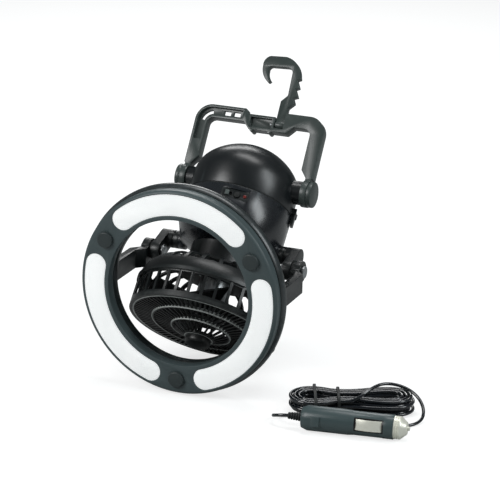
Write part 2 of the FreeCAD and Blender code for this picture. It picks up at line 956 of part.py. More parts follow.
def cap_catch():
    low = block(housing_radius + rub_gap, housing_radius + rub_gap + catch_thickness,
                -catch_width / 2, catch_width / 2, catch_bottom, catch_hinge_height)
    barrel = rod_y(catch_barrel_radius, -catch_width / 2, catch_width / 2,
                   catch_radius(), catch_hinge_height)
    return turned(low.fuse(barrel), catch_angle).fuse(catch_pin(catch_pin_radius)).removeSplitter()


def cell_cradle():
    top = cradle_height + cradle_floor
    floor = rod_z(cradle_radius, cradle_height, top)
    long_wall = block(-cradle_wall_reach, cradle_wall_reach, -cradle_wall / 2, cradle_wall / 2,
                      top, top + cradle_wall_height)
    return floor.fuse(long_wall).fuse(turned(long_wall, 90)).removeSplitter()


def cell_contacts():
    """A square plate with a round raised contact under each cell."""
    top = cradle_height + cradle_floor
    half = contact_plate_size / 2
    contacts = []
    for x in (-cell_place, cell_place):
        for y in (-cell_place, cell_place):
            plate = block(x - half, x + half, y - half, y + half, top, top + contact_plate_thickness)
            stud_top = top + contact_plate_thickness + contact_spring_height
            contacts.append(plate.fuse(rod_z(contact_stud_radius, top, stud_top, x, y)))
    return contacts


def switch_panel():
    back = panel_face - panel_thickness
    panel = panel_block(panel_face, back, 0)
    slot_start = switch_slot_place - switch_slot_length / 2
    slot = block(back, panel_face, slot_start, slot_start + switch_slot_length,
                 panel_middle - switch_slot_height / 2, panel_middle + switch_slot_height / 2)
    button_hole = rod_x(button_radius + loose_gap, back, panel_face, button_place, panel_middle)
    lamp_hole = rod_x(lamp_radius + fit_gap, back, panel_face, lamp_place, panel_middle)
    return turned(panel.cut(slot).cut(button_hole).cut(lamp_hole), panel_angle)


def fan_switch():
    back = panel_face - panel_thickness
    start = switch_slot_place - switch_slot_length / 2 + loose_gap
    stem_rise = switch_slot_height / 2 - loose_gap
    stem = block(back + rub_gap, panel_face + fit_gap, start, start + switch_stem_length,
                 panel_middle - stem_rise, panel_middle + stem_rise)
    middle = start + switch_stem_length / 2
    knob = block(panel_face + fit_gap, panel_face + switch_knob_proud,
                 middle - switch_knob_length / 2, middle + switch_knob_length / 2,
                 panel_middle - switch_knob_height / 2, panel_middle + switch_knob_height / 2)
    return turned(stem.fuse(knob), panel_angle)


def light_button():
    back = panel_face - panel_thickness + button_travel + loose_gap
    button = rod_x(button_radius, back, panel_face + button_proud, button_place, panel_middle)
    return turned(button, panel_angle)


def charge_light():
    back = panel_face - panel_thickness
    return turned(rod_x(lamp_radius, back, panel_face + lamp_proud, lamp_place, panel_middle), panel_angle)


def supply_socket():
    outer = socket_face + socket_flange_thickness
    body = rod_y(socket_body_radius, socket_inner_end, socket_face, 0, socket_height)
    body = body.fuse(rod_y(socket_flange_radius, socket_face, outer, 0, socket_height))
    return body.cut(rod_y(socket_bore_radius, socket_inner_end + socket_floor, outer, 0, socket_height))


def supply_socket_pin():
    end = socket_face + socket_flange_thickness - socket_pin_recess
    return rod_y(socket_pin_radius, socket_inner_end + socket_floor, end, 0, socket_height)


# Fan cage

def wedge(inner, outer, rib, count, z0, z1):
    """Opening between two radial ribs, with the same rib width all the way out."""
    corners = []
    for radius, side in ((inner, -1), (outer, -1), (outer, 1), (inner, 1)):
        half = math.pi / count - math.asin(rib / 2 / radius)
        corners.append((radius * math.cos(side * half), radius * math.sin(side * half)))
    face = closed_face(corners, lambda x, y: point(x, y, z0))
    return face.extrude(point(0, 0, z1 - z0))


def cage_back():
    curve = math.sqrt(0.5)
    outer_middle = (cage_shoulder_radius + shoulder_curve * curve,
                    cage_shoulder_height + shoulder_curve * curve)
    outer = turned_z([
        (0, cage_front), (cage_radius, cage_front), (cage_radius, cage_shoulder_height),
        outer_middle + (cage_shoulder_radius, web_top), (neck_radius, web_top),
        (neck_radius, housing_base_height), (0, housing_base_height)])
    inner_curve = shoulder_curve - cage_wall
    inner_middle = (cage_shoulder_radius + inner_curve * curve, cage_shoulder_height + inner_curve * curve)
    inner = turned_z([
        (0, cage_front), (cage_inner_radius, cage_front), (cage_inner_radius, cage_shoulder_height),
        inner_middle + (cage_shoulder_radius, web_bottom), (0, web_bottom)])
    cage = outer.cut(inner)
    cage = cage.cut(rod_z(neck_radius - cage_wall, web_top, housing_base_height))
    bead_top = cage_shoulder_height + cage_bead_width
    bead = ring_z(cage_radius + cage_bead, cage_radius - cage_wall, cage_shoulder_height, bead_top)
    cage = cage.fuse(bead.cut(inner))
    side_gap = wedge(cage_inner_radius - cage_wall, cage_radius + cage_wall, side_rib, side_slots,
                     cage_front + slot_margin, cage_shoulder_height - slot_margin)
    shoulder_gap = wedge(cage_shoulder_radius + slot_margin, cage_inner_radius - slot_margin, shoulder_rib,
                         shoulder_slots, cage_shoulder_height + cage_bead_width, web_top + slot_margin)
    cage = cage.cut(Part.Compound(around(side_gap, side_slots)))
    cage = cage.cut(Part.Compound(around(shoulder_gap, shoulder_slots)))
    for boss in around(rod_z(cage_boss_radius, web_bottom, housing_base_height, cage_boss_circle), 3, 90):
        cage = cage.fuse(boss)
    pilot_bottom = housing_base_height - cage_screw_bite
    for pilot in around(rod_z(cage_screw_radius + fit_gap, pilot_bottom, housing_base_height,
                              cage_boss_circle), 3, 90):
        cage = cage.cut(pilot)
    cage = cage.cut(rod_z(wire_hole_radius, web_bottom, web_top))
    for hole in around(rod_z(motor_screw_radius + fit_gap, web_bottom, web_top, motor_screw_circle), 2):
        cage = cage.cut(hole)
    return cage


def housing_screws():
    seat = housing_base_height + housing_wall
    tip = housing_base_height - cage_screw_bite + loose_gap
    screw = rod_z(cage_screw_radius, tip, seat, cage_boss_circle)
    head = rod_z(cage_screw_head_radius, seat, seat + cage_screw_head_height, cage_boss_circle)
    return around(screw.fuse(head), 3, 90)


def front_guard():
    face = guard_face_height
    rim_inner = cage_radius - guard_rim_width
    hub_outer = hub_ring_radius + guard_ring_width / 2
    front = [
        (rim_inner, face), (second_ring_radius, face - second_ring_rise),
        (third_ring_radius, face - third_ring_rise), (hub_outer, face - hub_ring_rise),
        (0, face - hub_ring_rise)]
    back = [(radius, height + guard_depth) for radius, height in reversed(front)]
    guard = turned_z(front + back)
    zones = (
        (second_ring_radius + guard_ring_width / 2, rim_inner - guard_ring_width / 4, outer_spokes),
        (third_ring_radius + guard_ring_width / 2, second_ring_radius - guard_ring_width / 2, middle_spokes),
        (hub_outer + guard_ring_width / 2, third_ring_radius - guard_ring_width / 2, inner_spokes))
    for inner, outer, count in zones:
        gap = wedge(inner, outer, guard_rib, count, face - 2 * hub_ring_rise, cage_front + guard_depth)
        guard = guard.cut(Part.Compound(around(gap, count)))
    rim = ring_z(cage_radius, rim_inner, face, cage_front)
    lip_radius = cage_inner_radius - loose_gap
    lip = ring_z(lip_radius, rim_inner, cage_front, cage_front + guard_lip_length)
    guard = guard.fuse(rim).fuse(lip)
    for radius, rise in ((second_ring_radius, second_ring_rise), (third_ring_radius, third_ring_rise)):
        bead = ring_z(radius + guard_ring_width / 2, radius - guard_ring_width / 2,
                      face - rise - guard_ring_proud, face - rise + guard_depth)
        guard = guard.fuse(bead)
    guard = guard.cut(rod_z(hub_stem_radius + fit_gap, face - 2 * hub_ring_rise, face))
    guard = placed(guard.removeSplitter(), fan_placement())
    floor = block(-cage_radius, cage_radius, 0, 3 * cage_radius, -cage_radius, 0)
    return guard.cut(floor)


def hub_cap():
    seat = guard_face_height - hub_ring_rise
    edge = seat - hub_cap_skirt
    arcs = rounded_end(hub_cap_radius, hub_cap_height - hub_cap_skirt, hub_cap_side_radius, edge, -1)
    cap = turned_z([(0, seat), (hub_cap_radius, seat), (hub_cap_radius, edge)] + arcs)
    return cap.fuse(rod_z(hub_stem_radius, seat, seat + guard_depth))


# Motor and impeller

def motor():
    body = rod_z(motor_radius, motor_front, motor_back)
    body = body.fuse(rod_z(motor_nose_radius, motor_front - motor_nose_length, motor_front))
    body = body.cut(rod_z(shaft_radius + fit_gap, motor_front - motor_nose_length, motor_back))
    for hole in around(rod_z(motor_screw_radius + fit_gap, motor_back - motor_screw_bite, motor_back,
                             motor_screw_circle), 2):
        body = body.cut(hole)
    return body


def motor_plate():
    plate = rod_z(motor_plate_radius, motor_back, web_bottom)
    for hole in around(rod_z(motor_screw_radius + fit_gap, motor_back, web_bottom, motor_screw_circle), 2):
        plate = plate.cut(hole)
    return plate.cut(rod_z(wire_hole_radius, motor_back, web_bottom))


def motor_screws():
    tip = motor_back - motor_screw_bite + loose_gap
    screw = rod_z(motor_screw_radius, tip, web_top, motor_screw_circle)
    head = rod_z(motor_screw_head_radius, web_top, web_top + motor_screw_head_height, motor_screw_circle)
    return around(screw.fuse(head), 2)


def motor_shaft():
    return rod_z(shaft_radius, impeller_front - shaft_nose, motor_front + shaft_bite)


def blade():
    """Twisted blade between its root and its tip."""
    middle = impeller_front + impeller_length / 2
    wires = []
    for x, chord, pitch in ((blade_root_radius, blade_root_chord, blade_root_pitch),
                            (impeller_radius, blade_tip_chord, blade_tip_pitch)):
        turn = math.radians(pitch)
        along = point(0, math.cos(turn), math.sin(turn)) * (chord / 2)
        thick = point(0, -math.sin(turn), math.cos(turn)) * (blade_thickness / 2)
        centre = point(x, 0, middle)
        corners = [centre + along + thick, centre - along + thick,
                   centre - along - thick, centre + along - thick]
        wires.append(Part.makePolygon(corners + corners[:1]))
    return Part.makeLoft(wires, True, True)


def impeller():
    hub = rod_z(impeller_hub_radius, impeller_front, impeller_back)
    for one in around(blade(), blade_count):
        hub = hub.fuse(one)
    inside = impeller_front + impeller_face
    hub = hub.cut(rod_z(impeller_hub_radius - impeller_hub_wall, inside, impeller_back + impeller_length))
    hub = hub.fuse(rod_z(impeller_boss_radius, impeller_front, inside + impeller_boss_length))
    return hub.cut(rod_z(shaft_radius + fit_gap, impeller_front, impeller_back))


# Carrying handle

def handle():
    half = handle_half_width
    top = handle_top
    corner = handle_corner
    inner_half = handle_inner_half
    inner_top = handle_inner_top
    inner_corner = handle_inner_corner
    soft = 1 - math.sqrt(0.5)
    left_step = handle_block_left
    right = handle_block_right
    bottom = handle_block_bottom
    eye_inside = handle_eye_inside
    slot_left = hook_left - rub_gap
    slot_right = hook_right + rub_gap
    outline = [
        (-half, handle_leg_bottom), (-half, top - corner),
        (-half + corner * soft, top - corner * soft, -half + corner, top),
        (left_step, top), (left_step + (top - handle_block_top) / 2, handle_block_top),
        (slot_left, handle_block_top), (slot_right, handle_block_top), (slot_right, top),
        (half - corner, top),
        (half - corner * soft, top - corner * soft, half, top - corner),
        (half, handle_leg_bottom), (eye_inside, handle_leg_bottom),
        (inner_half, handle_leg_bottom + handle_leg_chamfer), (inner_half, inner_top - inner_corner),
        (inner_half - inner_corner * soft, inner_top - inner_corner * soft,
         inner_half - inner_corner, inner_top),
        (right, inner_top), (right - handle_slope, bottom), (left_step + handle_slope, bottom),
        (left_step, inner_top), (-inner_half + inner_corner, inner_top),
        (-inner_half + inner_corner * soft, inner_top - inner_corner * soft,
         -inner_half, inner_top - inner_corner),
        (-inner_half, handle_leg_bottom + handle_leg_chamfer), (-eye_inside, handle_leg_bottom)]
    shape = plate_xz(outline, -handle_depth / 2, handle_depth / 2)
    for side in sides.values():
        inside = side * handle_eye_inside
        outside = side * handle_eye_outside
        shape = shape.fuse(rod_x(handle_eye_radius, inside, outside))
        shape = shape.fuse(block(inside, outside, -handle_depth / 2, handle_depth / 2,
                                 0, handle_leg_bottom + handle_leg_chamfer))
        shape = shape.cut(rod_x(handle_pin_radius + fit_gap, side * handle_half_width / 2, side * half))
    for place in lug_places:
        shape = shape.fuse(rod_y(lug_radius, -handle_depth / 2, handle_depth / 2, place, bottom))
    shape = shape.cut(block(slot_left, slot_right, -handle_depth, handle_depth,
                            hook_pin_height - hook_eye_radius - rub_gap, 2 * top))
    shape = shape.cut(rod_x(hook_pin_radius + fit_gap, hook_left - hook_pin_reach,
                            hook_right + hook_pin_reach, 0, hook_pin_height))
    shape = cut_channel(shape)
    tray = block(left_step + handle_slope, slot_left - handle_rim, -handle_depth / 2,
                 handle_recess - handle_depth / 2, bottom + handle_rim, handle_block_top - handle_rim)
    return shape.cut(tray).removeSplitter()


def cut_channel(shape):
    """Sink the front and the back of the handle's left part, and cut its slots."""
    half = handle_half_width - handle_rim
    top = handle_top - handle_rim
    corner = handle_corner - handle_rim
    inner_half = handle_inner_half + handle_rim
    inner_top = handle_inner_top + handle_rim
    inner_corner = handle_inner_corner + handle_rim
    soft = 1 - math.sqrt(0.5)
    end = handle_block_left - handle_rim
    sunk = [
        (-half, channel_bottom), (-half, top - corner),
        (-half + corner * soft, top - corner * soft, -half + corner, top),
        (end, top), (end, inner_top), (-inner_half + inner_corner, inner_top),
        (-inner_half + inner_corner * soft, inner_top - inner_corner * soft,
         -inner_half, inner_top - inner_corner),
        (-inner_half, channel_bottom)]
    face = handle_depth / 2
    shape = shape.cut(plate_xz(sunk, -face, handle_recess - face))
    shape = shape.cut(plate_xz(sunk, face - handle_recess, face))
    slot_radius = (handle_corner + handle_inner_corner) / 2
    centre_x = -(handle_half_width + handle_inner_half) / 2 + slot_radius
    centre_z = (handle_top + handle_inner_top) / 2 - slot_radius
    band = corner_slot_width / 2
    steps = []
    for radius, first, second in ((slot_radius + band, corner_slot_start, corner_slot_end),
                                  (slot_radius - band, corner_slot_end, corner_slot_start)):
        places = []
        for angle in (first, (first + second) / 2, second):
            turn = math.radians(angle)
            places.append((centre_x + radius * math.cos(turn), centre_z + radius * math.sin(turn)))
        steps.append(places[0])
        steps.append(places[1] + places[2])
    shape = shape.cut(plate_xz(steps, -face, face))
    middle = (top + inner_top) / 2
    for place in bar_hole_places:
        shape = shape.cut(block(place - bar_hole_length / 2, place + bar_hole_length / 2, -face, face,
                                middle - bar_hole_height / 2, middle + bar_hole_height / 2))
    return shape


def handle_pins():
    pins = []
    head = handle_eye_outside + fit_gap
    for side in sides.values():
        pin = rod_x(handle_pin_radius, side * (handle_boss_reach - handle_pin_bite + loose_gap), side * head)
        flange = rod_x(handle_pin_head_radius, side * head, side * (head + handle_pin_head_height))
        pins.append(pin.fuse(flange))
    return pins


def handle_caps():
    caps = []
    for side in sides.values():
        disc = rod_x(handle_cap_radius, side * handle_eye_outside,
                     side * (handle_eye_outside + handle_cap_height))
        room = rod_x(handle_cap_bore, side * handle_eye_outside,
                     side * (handle_eye_outside + 2 * fit_gap + handle_pin_head_height + rub_gap))
        caps.append(disc.cut(room))
    return caps


def hook():
    outline = [
        (hook_left, hook_pin_height), (hook_left, 81.0), (19.6, 87.0), (18.9, 107.5),
        (17.4, 111.4, 13.4, 113.0), (-1.6, 112.4), (-3.6, 111.2, -4.2, 108.6),
        (-3.0, 103.2, 0.4, 98.9), (-1.8, 97.0), (-7.6, 102.6, -10.6, 112.7),
        (-9.6, 118.6, -5.0, 122.2), (9.5, 123.0), (20.3, 118.2, 27.0, 106.8),
        (28.0, 103.6), (25.0, 102.4), (28.6, 95.4), (25.3, 94.0), (29.2, 86.8),
        (25.2, 85.4), (27.6, 80.6), (hook_right, 75.4), (hook_right, hook_pin_height)]
    shape = plate_xz(outline, -hook_depth / 2, hook_depth / 2)
    shape = shape.fuse(rod_x(hook_eye_radius, hook_left, hook_right, 0, hook_pin_height))
    return shape.cut(rod_x(hook_pin_radius + fit_gap, hook_left, hook_right, 0, hook_pin_height))


def hook_pin():
    return rod_x(hook_pin_radius, hook_left - hook_pin_reach + loose_gap,
                 hook_right + hook_pin_reach - loose_gap, 0, hook_pin_height)


# Car plug

def contact_window(margin):
    half = side_contact_height / 2 + margin
    start = side_contact_start - margin
    end = side_contact_start + side_contact_length + margin
    return start, end, half


def plug_body():
    body = turned_x([
        (0, 0), (0, plug_tail_radius), (plug_tail_length, plug_radius),
        (plug_waist_start - plug_tail_length, plug_radius), (plug_waist_start, plug_waist_radius),
        (collar_start, plug_waist_radius), (collar_start, plug_collar_radius),
        (plug_length, plug_collar_radius), (plug_length, 0)])
    lug = block(plug_lug_place, plug_lug_place + plug_lug_length, -plug_radius - plug_lug_proud, 0,
                -plug_radius / 2, plug_radius / 4)
    body = body.fuse(lug)
    bore = rod_x(plug_waist_radius - plug_wall, plug_bore_start, plug_length)
    body = body.cut(bore)
    start, end, half = contact_window(loose_gap)
    body = body.cut(block(start, end, -2 * plug_radius, 2 * plug_radius, -half, half))
    body = body.cut(rod_x(relief_end_radius + fit_gap, 0, relief_bite))
    return body.removeSplitter()


def plug_contact(side):
    """Bowed metal leaf in the side of the plug, with a lip inside the wall at each end."""
    start, end, half = contact_window(0)
    middle = (start + end) / 2
    high = plug_waist_radius + side_contact_bow
    low = plug_waist_radius - side_contact_thickness
    outline = [(start, low), (middle, high, end, low), (end, low - side_contact_thickness),
               (middle, high - side_contact_thickness, start, low - side_contact_thickness)]
    face = closed_face(outline, across_y)
    face.translate(point(0, 0, -half))
    leaf = face.extrude(point(0, 0, 2 * half))
    return leaf if side > 0 else turned(leaf, 180, X_AXIS)


def plug_carrier():
    """Moulded core that holds the fuse and backs the side contacts."""
    core = rod_x(plug_waist_radius - plug_wall - loose_gap, plug_bore_start, plug_length)
    room = plug_waist_radius - 2 * side_contact_thickness - side_contact_travel - loose_gap
    start, end, half = contact_window(rub_gap)
    for low, high in ((-2 * plug_radius, -room), (room, 2 * plug_radius)):
        core = core.cut(block(start, end, low, high, -half, half))
    return core.cut(rod_x(fuse_radius + fit_gap, fuse_start(), plug_length))


def fuse_start():
    return plug_length - fuse_length - tip_travel


def plug_fuse():
    return rod_x(fuse_radius, fuse_start(), fuse_start() + fuse_length)


def plug_nose():
    end = plug_length + nose_length
    nose = turned_x([
        (plug_length, nose_bore_radius), (plug_length, nose_radius), (end, nose_radius),
        (end + nose_dome_length, nose_dome_radius), (end + nose_dome_length, tip_pin_radius + loose_gap),
        (end, tip_pin_radius + loose_gap), (end, nose_bore_radius)])
    return nose


def plug_tip():
    front = plug_length + nose_length - loose_gap
    flange = rod_x(tip_radius, plug_length + tip_travel, front)
    return flange.fuse(rod_x(tip_pin_radius, front, tip_reach))


def plug_relief():
    collar = turned_x([
        (-relief_length, 0), (-relief_length, relief_end_radius), (0, relief_radius),
        (0, relief_end_radius), (relief_bite, relief_end_radius), (relief_bite, 0)])
    return collar


# Lead

def biarc(start, start_heading, end, end_heading):
    """Two arcs that leave one place and reach another with the given headings."""
    span = end - start
    both = start_heading + end_heading
    spread = 1 - start_heading.dot(end_heading)
    if spread < 1e-9:
        reach = span.dot(span) / (4 * span.dot(end_heading))
    else:
        along = span.dot(both)
        reach = (math.sqrt(along * along + 2 * spread * span.dot(span)) - along) / (2 * spread)
    first_corner = start + start_heading * reach
    last_corner = end - end_heading * reach
    middle = (first_corner + last_corner) * 0.5
    return [arc_from_corner(start, first_corner, middle), arc_from_corner(middle, last_corner, end)]


def arc_from_corner(start, corner, end):
    """Arc that touches the two lines from its corner to its ends, or a line where it is straight."""
    chord_middle = (start + end) * 0.5
    height = (corner - chord_middle).Length
    if height < 1e-6:
        return Part.LineSegment(start, end).toShape()
    half_chord = (end - start).Length / 2
    side = math.hypot(half_chord, height)
    sag = half_chord * (side - half_chord) / height
    through = chord_middle + (corner - chord_middle) * (sag / height)
    return Part.Arc(start, through, end).toShape()


def hank_keys():
    """Places and headings along the hank, in its own frame, from its start to its end.
    The near runs go right and the far runs come back left, drawn in at the waist."""
    waist_half = hank_inner_half + loops_per_layer * hank_step
    wide_half = waist_half + hank_draw
    floor = tie_thickness + tie_gap + cord_radius
    right = point(1, 0, 0)
    left = point(-1, 0, 0)
    keys = [(point(-hank_left_run, -wide_half, floor), right)]
    before = floor
    for layer in range(hank_layers):
        height = floor + layer * layer_height
        inward = layer % 2 == 0
        for loop in range(loops_per_layer):
            near = (loop if inward else loops_per_layer - loop) * hank_step
            far = near + hank_step / 2 if inward else near - hank_step / 2
            after = near + hank_step if inward else near - hank_step
            rise = height - before
            climb = point(hank_left_run + hank_right_run, 0, 2 * rise)
            climb.normalize()
            part_way = before + rise * hank_left_run / (hank_left_run + hank_right_run)
            keys.append((point(0, near - waist_half, part_way), climb))
            keys.append((point(hank_right_run, near - wide_half, height), right))
            keys.append((point(hank_right_run, wide_half - far, height), left))
            keys.append((point(0, waist_half - far, height), left))
            keys.append((point(-hank_left_run, wide_half - far, height), left))
            keys.append((point(-hank_left_run, after - wide_half, height), right))
            before = height
    keys.append((point(0, -waist_half, before), right))
    return keys


def tube(path, radius):
    start = path.Edges[0]
    heading = start.tangentAt(start.FirstParameter)
    place = start.valueAt(start.FirstParameter)
    circle = Part.Wire([Part.makeCircle(radius, place, heading)])
    return path.makePipeShell([circle], True, False)


def cord_hank():
    keys = hank_keys()
    edges = []
    for (start, start_heading), (end, end_heading) in zip(keys, keys[1:]):
        edges.extend(biarc(start, start_heading, end, end_heading))
    path = Part.Wire(edges)
    spacing = 1.0
    count = int(path.Length / spacing)
    places = path.discretize(Number=count)
    skip = int(4 * cord_radius / spacing) + 1
    reach = 3 * cord_radius
    least = reach
    cells = {}
    for index, place in enumerate(places):
        key = (int(place.x // reach), int(place.y // reach), int(place.z // reach))
        for dx in (-1, 0, 1):
            for dy in (-1, 0, 1):
                for dz in (-1, 0, 1):
                    for other in cells.get((key[0] + dx, key[1] + dy, key[2] + dz), ()):
                        if index - other > skip:
                            least = min(least, (place - places[other]).Length)
        cells.setdefault(key, []).append(index)
    print("hank: length %.0f, least gap to itself %.2f" % (path.Length, least - 2 * cord_radius))
    return placed(tube(path, cord_radius), hank_placement())


def hank_ties():
    """Two flat bands round the hank, under it and over it."""
    waist_half = hank_inner_half + loops_per_layer * hank_step
    ties = []
    top = tie_thickness + 2 * tie_gap + 2 * cord_radius + (hank_layers - 1) * layer_height
    for place, half in ((waist_tie_place, waist_half), (left_tie_place, waist_half + hank_draw)):
        inside = half + cord_radius + tie_gap
        outside = inside + tie_thickness
        band = block(place - tie_width / 2, place + tie_width / 2, -outside, outside, 0, top + tie_thickness)
        room = block(place - tie_width, place + tie_width, -inside, inside, tie_thickness, top)
        ties.append(placed(band.cut(room), hank_placement()))
    return ties


def route(name, points, radius):
    """Wire of straight runs joined by tangent arcs through a list of places."""
    edges = []
    here = points[0]
    radii = []
    for before, corner, after in zip(points, points[1:], points[2:]):
        come = corner - before
        leave = after - corner
        shorter = min(come.Length, leave.Length)
        come.normalize()
        leave.normalize()
        turn = math.acos(max(-1.0, min(1.0, come.dot(leave))))
        cut = 0.45 * shorter
        radii.append(cut / math.tan(turn / 2))
        arc_start = corner - come * cut
        arc_end = corner + leave * cut
        edges.append(Part.LineSegment(here, arc_start).toShape())
        edges.append(arc_from_corner(arc_start, corner, arc_end))
        here = arc_end
    edges.append(Part.LineSegment(here, points[-1]).toShape())
    path = Part.Wire(edges)
    shape = tube(path, radius)
    ratio = shape.Volume / (math.pi * radius * radius * path.Length)
    print("%s: length %.0f, radii %s, volume ratio %.3f"
          % (name, path.Length, " ".join("%.1f" % one for one in radii), ratio))
    return shape


def lead_tail():
    """Loose stretch from the car plug's strain relief round to the start of the hank."""
    start = plug_placement().multVec(point(-relief_length, 0, 0))
    straight = plug_placement().multVec(point(-relief_length - 3.6, 0, 0))
    first_key = hank_keys()[0][0]
    end = hank_placement().multVec(first_key)
    before_end = hank_placement().multVec(first_key - point(5.0, 0, 0))
    points = [
        start, straight, point(102.4, -24.4, 9.2), point(97.6, -21.0, 7.0), point(95.6, -15.5, 4.6),
        point(97.1, -9.9, 2.7), point(101.6, -5.9, 1.8), point(109.2, -3.0, 2.0), before_end, end]
    return route("lead_tail", points, cord_radius)


def lead_end():
    """Loose stretch from the end of the hank over its right lobe and round to the supply plug."""
    last_key = hank_keys()[-1][0]
    over = [
        last_key, last_key + point(4.5, 0, 0), point(10.5, -13.1, 14.5), point(17.0, -9.8, 18.0),
        point(24.0, -3.4, 20.9), point(31.5, 3.6, 22.0), point(40.5, 7.4, 21.2), point(50.0, 6.6, 19.4),
        point(58.6, 2.2, 16.6), point(64.8, -5.0, 12.4), point(67.6, -13.6, 7.6)]
    points = [hank_placement().multVec(place) for place in over]
    points.extend([point(209.9, 35.4, 3.8), point(208.9, 27.6, 2.1), point(205.8, 20.9, 1.7),
                   point(200.9, 15.6, 1.9), point(195.1, 12.1, 3.2)])
    plug = supply_plug_placement()
    points.append(plug.multVec(point(-supply_relief_length - 4.0, 0, 0)))
    points.append(plug.multVec(point(-supply_relief_length, 0, 0)))
    return route("lead_end", points, cord_radius)


def supply_plug():
    radius = supply_plug_radius
    body = turned_x([
        (-supply_relief_length, 0), (-supply_relief_length, supply_relief_radius - supply_plug_chamfer / 2),
        (0, supply_relief_radius), (0, radius - supply_plug_chamfer), (supply_plug_chamfer, radius),
        (supply_plug_length, radius), (supply_plug_length, 0)])
    return placed(body, supply_plug_placement())


def supply_barrel():
    end = supply_plug_length + supply_barrel_length
    barrel = rod_x(supply_barrel_radius, supply_plug_length, end)
    return placed(barrel.cut(rod_x(supply_barrel_bore, supply_plug_length, end)), supply_plug_placement())


def build():
    write("ring_front_cover", place_ring(ring_front_cover()))
    write("ring_rear_cover", place_ring(ring_rear_cover()))
    for name, angle in lens_angles.items():
        write(name, place_ring(lens(angle)))
    write("led_board", place_ring(led_board()))
    write("leds", [place_ring(one) for one in leds()])
    write("ring_feet", [place_ring(one) for one in ring_feet()])
    write("ring_screws", [place_ring(one) for one in ring_screws()])
    write("arm_screws", [place_ring(one) for one in arm_screws()])
    for name, side in sides.items():
        write("ring_arm_" + name, place_ring(ring_arm(side)))
        write_fan("pivot_bracket_" + name, pivot_bracket(side))
    write_fan("hinge_pins", hinge_pins())
    write_fan("hinge_nuts", hinge_nuts())
    write_fan("hinge_washers", hinge_washers())
    write_fan("bracket_screws", bracket_screws())
    write_fan("housing_body", housing_body())
    write_fan("housing_screws", housing_screws())
    write_fan("battery_cap", battery_cap())
    write_fan("cap_seal", cap_seal())
    write_fan("cap_plate", cap_plate())
    write_fan("cap_contacts", cap_contacts())
    write_fan("cap_catch", cap_catch())
    write_fan("cell_cradle", cell_cradle())
    write_fan("cell_contacts", cell_contacts())
    write_fan("switch_panel", switch_panel())
    write_fan("fan_switch", fan_switch())
    write_fan("light_button", light_button())
    write_fan("charge_light", charge_light())
    write_fan("supply_socket", supply_socket())
    write_fan("supply_socket_pin", supply_socket_pin())
    write_fan("cage_back", cage_back())
    write("front_guard", front_guard())
    write_fan("hub_cap", hub_cap())
    write_fan("motor", motor())
    write_fan("motor_plate", motor_plate())
    write_fan("motor_screws", motor_screws())
    write_fan("motor_shaft", motor_shaft())
    write_fan("impeller", impeller())
    write_handle("handle", handle())
    write_fan("handle_pins", moved_to_pivot(handle_pins()))
    write_handle("handle_caps", handle_caps())
    write_handle("hook", hook())
    write_handle("hook_pin", hook_pin())
    write("plug_body", placed(plug_body(), plug_placement()))
    write("plug_contact_near", placed(plug_contact(-1), plug_placement()))
    write("plug_contact_far", placed(plug_contact(1), plug_placement()))
    write("plug_carrier", placed(plug_carrier(), plug_placement()))
    write("plug_fuse", placed(plug_fuse(), plug_placement()))
    write("plug_nose", placed(plug_nose(), plug_placement()))
    write("plug_tip", placed(plug_tip(), plug_placement()))
    write("plug_relief", placed(plug_relief(), plug_placement()))
    write("lead_tail", lead_tail())
    write("cord_hank", cord_hank())
    write("hank_ties", hank_ties())
    write("lead_end", lead_end())
    write("supply_plug", supply_plug())
    write("supply_barrel", supply_barrel())


def moved_to_pivot(shapes):
    return [moved(shape, 0, 0, handle_pivot_height) for shape in shapes]


# The feet are the front of the object and the hook is its back
object_back = placed(hook(), handle_placement()).optimalBoundingBox().YMax
middle_depth = (object_back - foot_height) / 2
print("middle depth %.4f" % middle_depth)
build()
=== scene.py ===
import json
import math

import bmesh
import bpy
from mathutils import Matrix, Vector


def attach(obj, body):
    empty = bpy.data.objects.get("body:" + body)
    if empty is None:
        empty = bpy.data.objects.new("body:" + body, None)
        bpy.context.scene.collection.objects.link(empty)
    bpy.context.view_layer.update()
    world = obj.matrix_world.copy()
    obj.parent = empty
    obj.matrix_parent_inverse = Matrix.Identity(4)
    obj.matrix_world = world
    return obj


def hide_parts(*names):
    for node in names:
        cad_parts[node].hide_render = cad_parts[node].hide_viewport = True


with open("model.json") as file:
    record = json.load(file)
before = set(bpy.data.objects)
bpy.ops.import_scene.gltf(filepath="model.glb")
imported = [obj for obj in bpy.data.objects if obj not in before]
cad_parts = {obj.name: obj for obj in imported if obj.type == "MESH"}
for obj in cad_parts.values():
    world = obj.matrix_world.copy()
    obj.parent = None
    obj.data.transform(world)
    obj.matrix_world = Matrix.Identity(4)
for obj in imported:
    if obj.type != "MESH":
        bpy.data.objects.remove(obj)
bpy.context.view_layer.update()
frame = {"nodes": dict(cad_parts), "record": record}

# Shapes and places are in millimetres and are turned to metres where they are used. The lights, the
# floor and the camera's clipping are in metres.
MM = 0.001

# The object's own places, as in the part
FAN_TILT = math.radians(47.5)
HINGE_REACH = 97.0
RING_HEIGHT = 91.7
MIDDLE_DEPTH = 107.4619
PLUG_CENTRE = (124.0, -22.0, 10.5)
PLUG_TURN = math.radians(9.0)
PLUG_ROLL = math.radians(-15.0)
HANK_CENTRE = (139.5, 30.2, 0)
HANK_TURN = math.radians(23.4)
SUPPLY_CENTRE = (178.0, 8.5, 5.0)
SUPPLY_TURN = math.radians(189.0)
CORD_RADIUS = 1.4

# Camera, fitted to the ring light
CAMERA_AZIMUTH = math.radians(22.4)
CAMERA_ELEVATION = math.radians(18.9)
CAMERA_ROLL = math.radians(1.05)
CAMERA_RIGHT = 61.26
CAMERA_UP = 37.02
CAMERA_DISTANCE = 2000.0
SENSOR_WIDTH = 36.0
FOCAL_LENGTH = 171.36

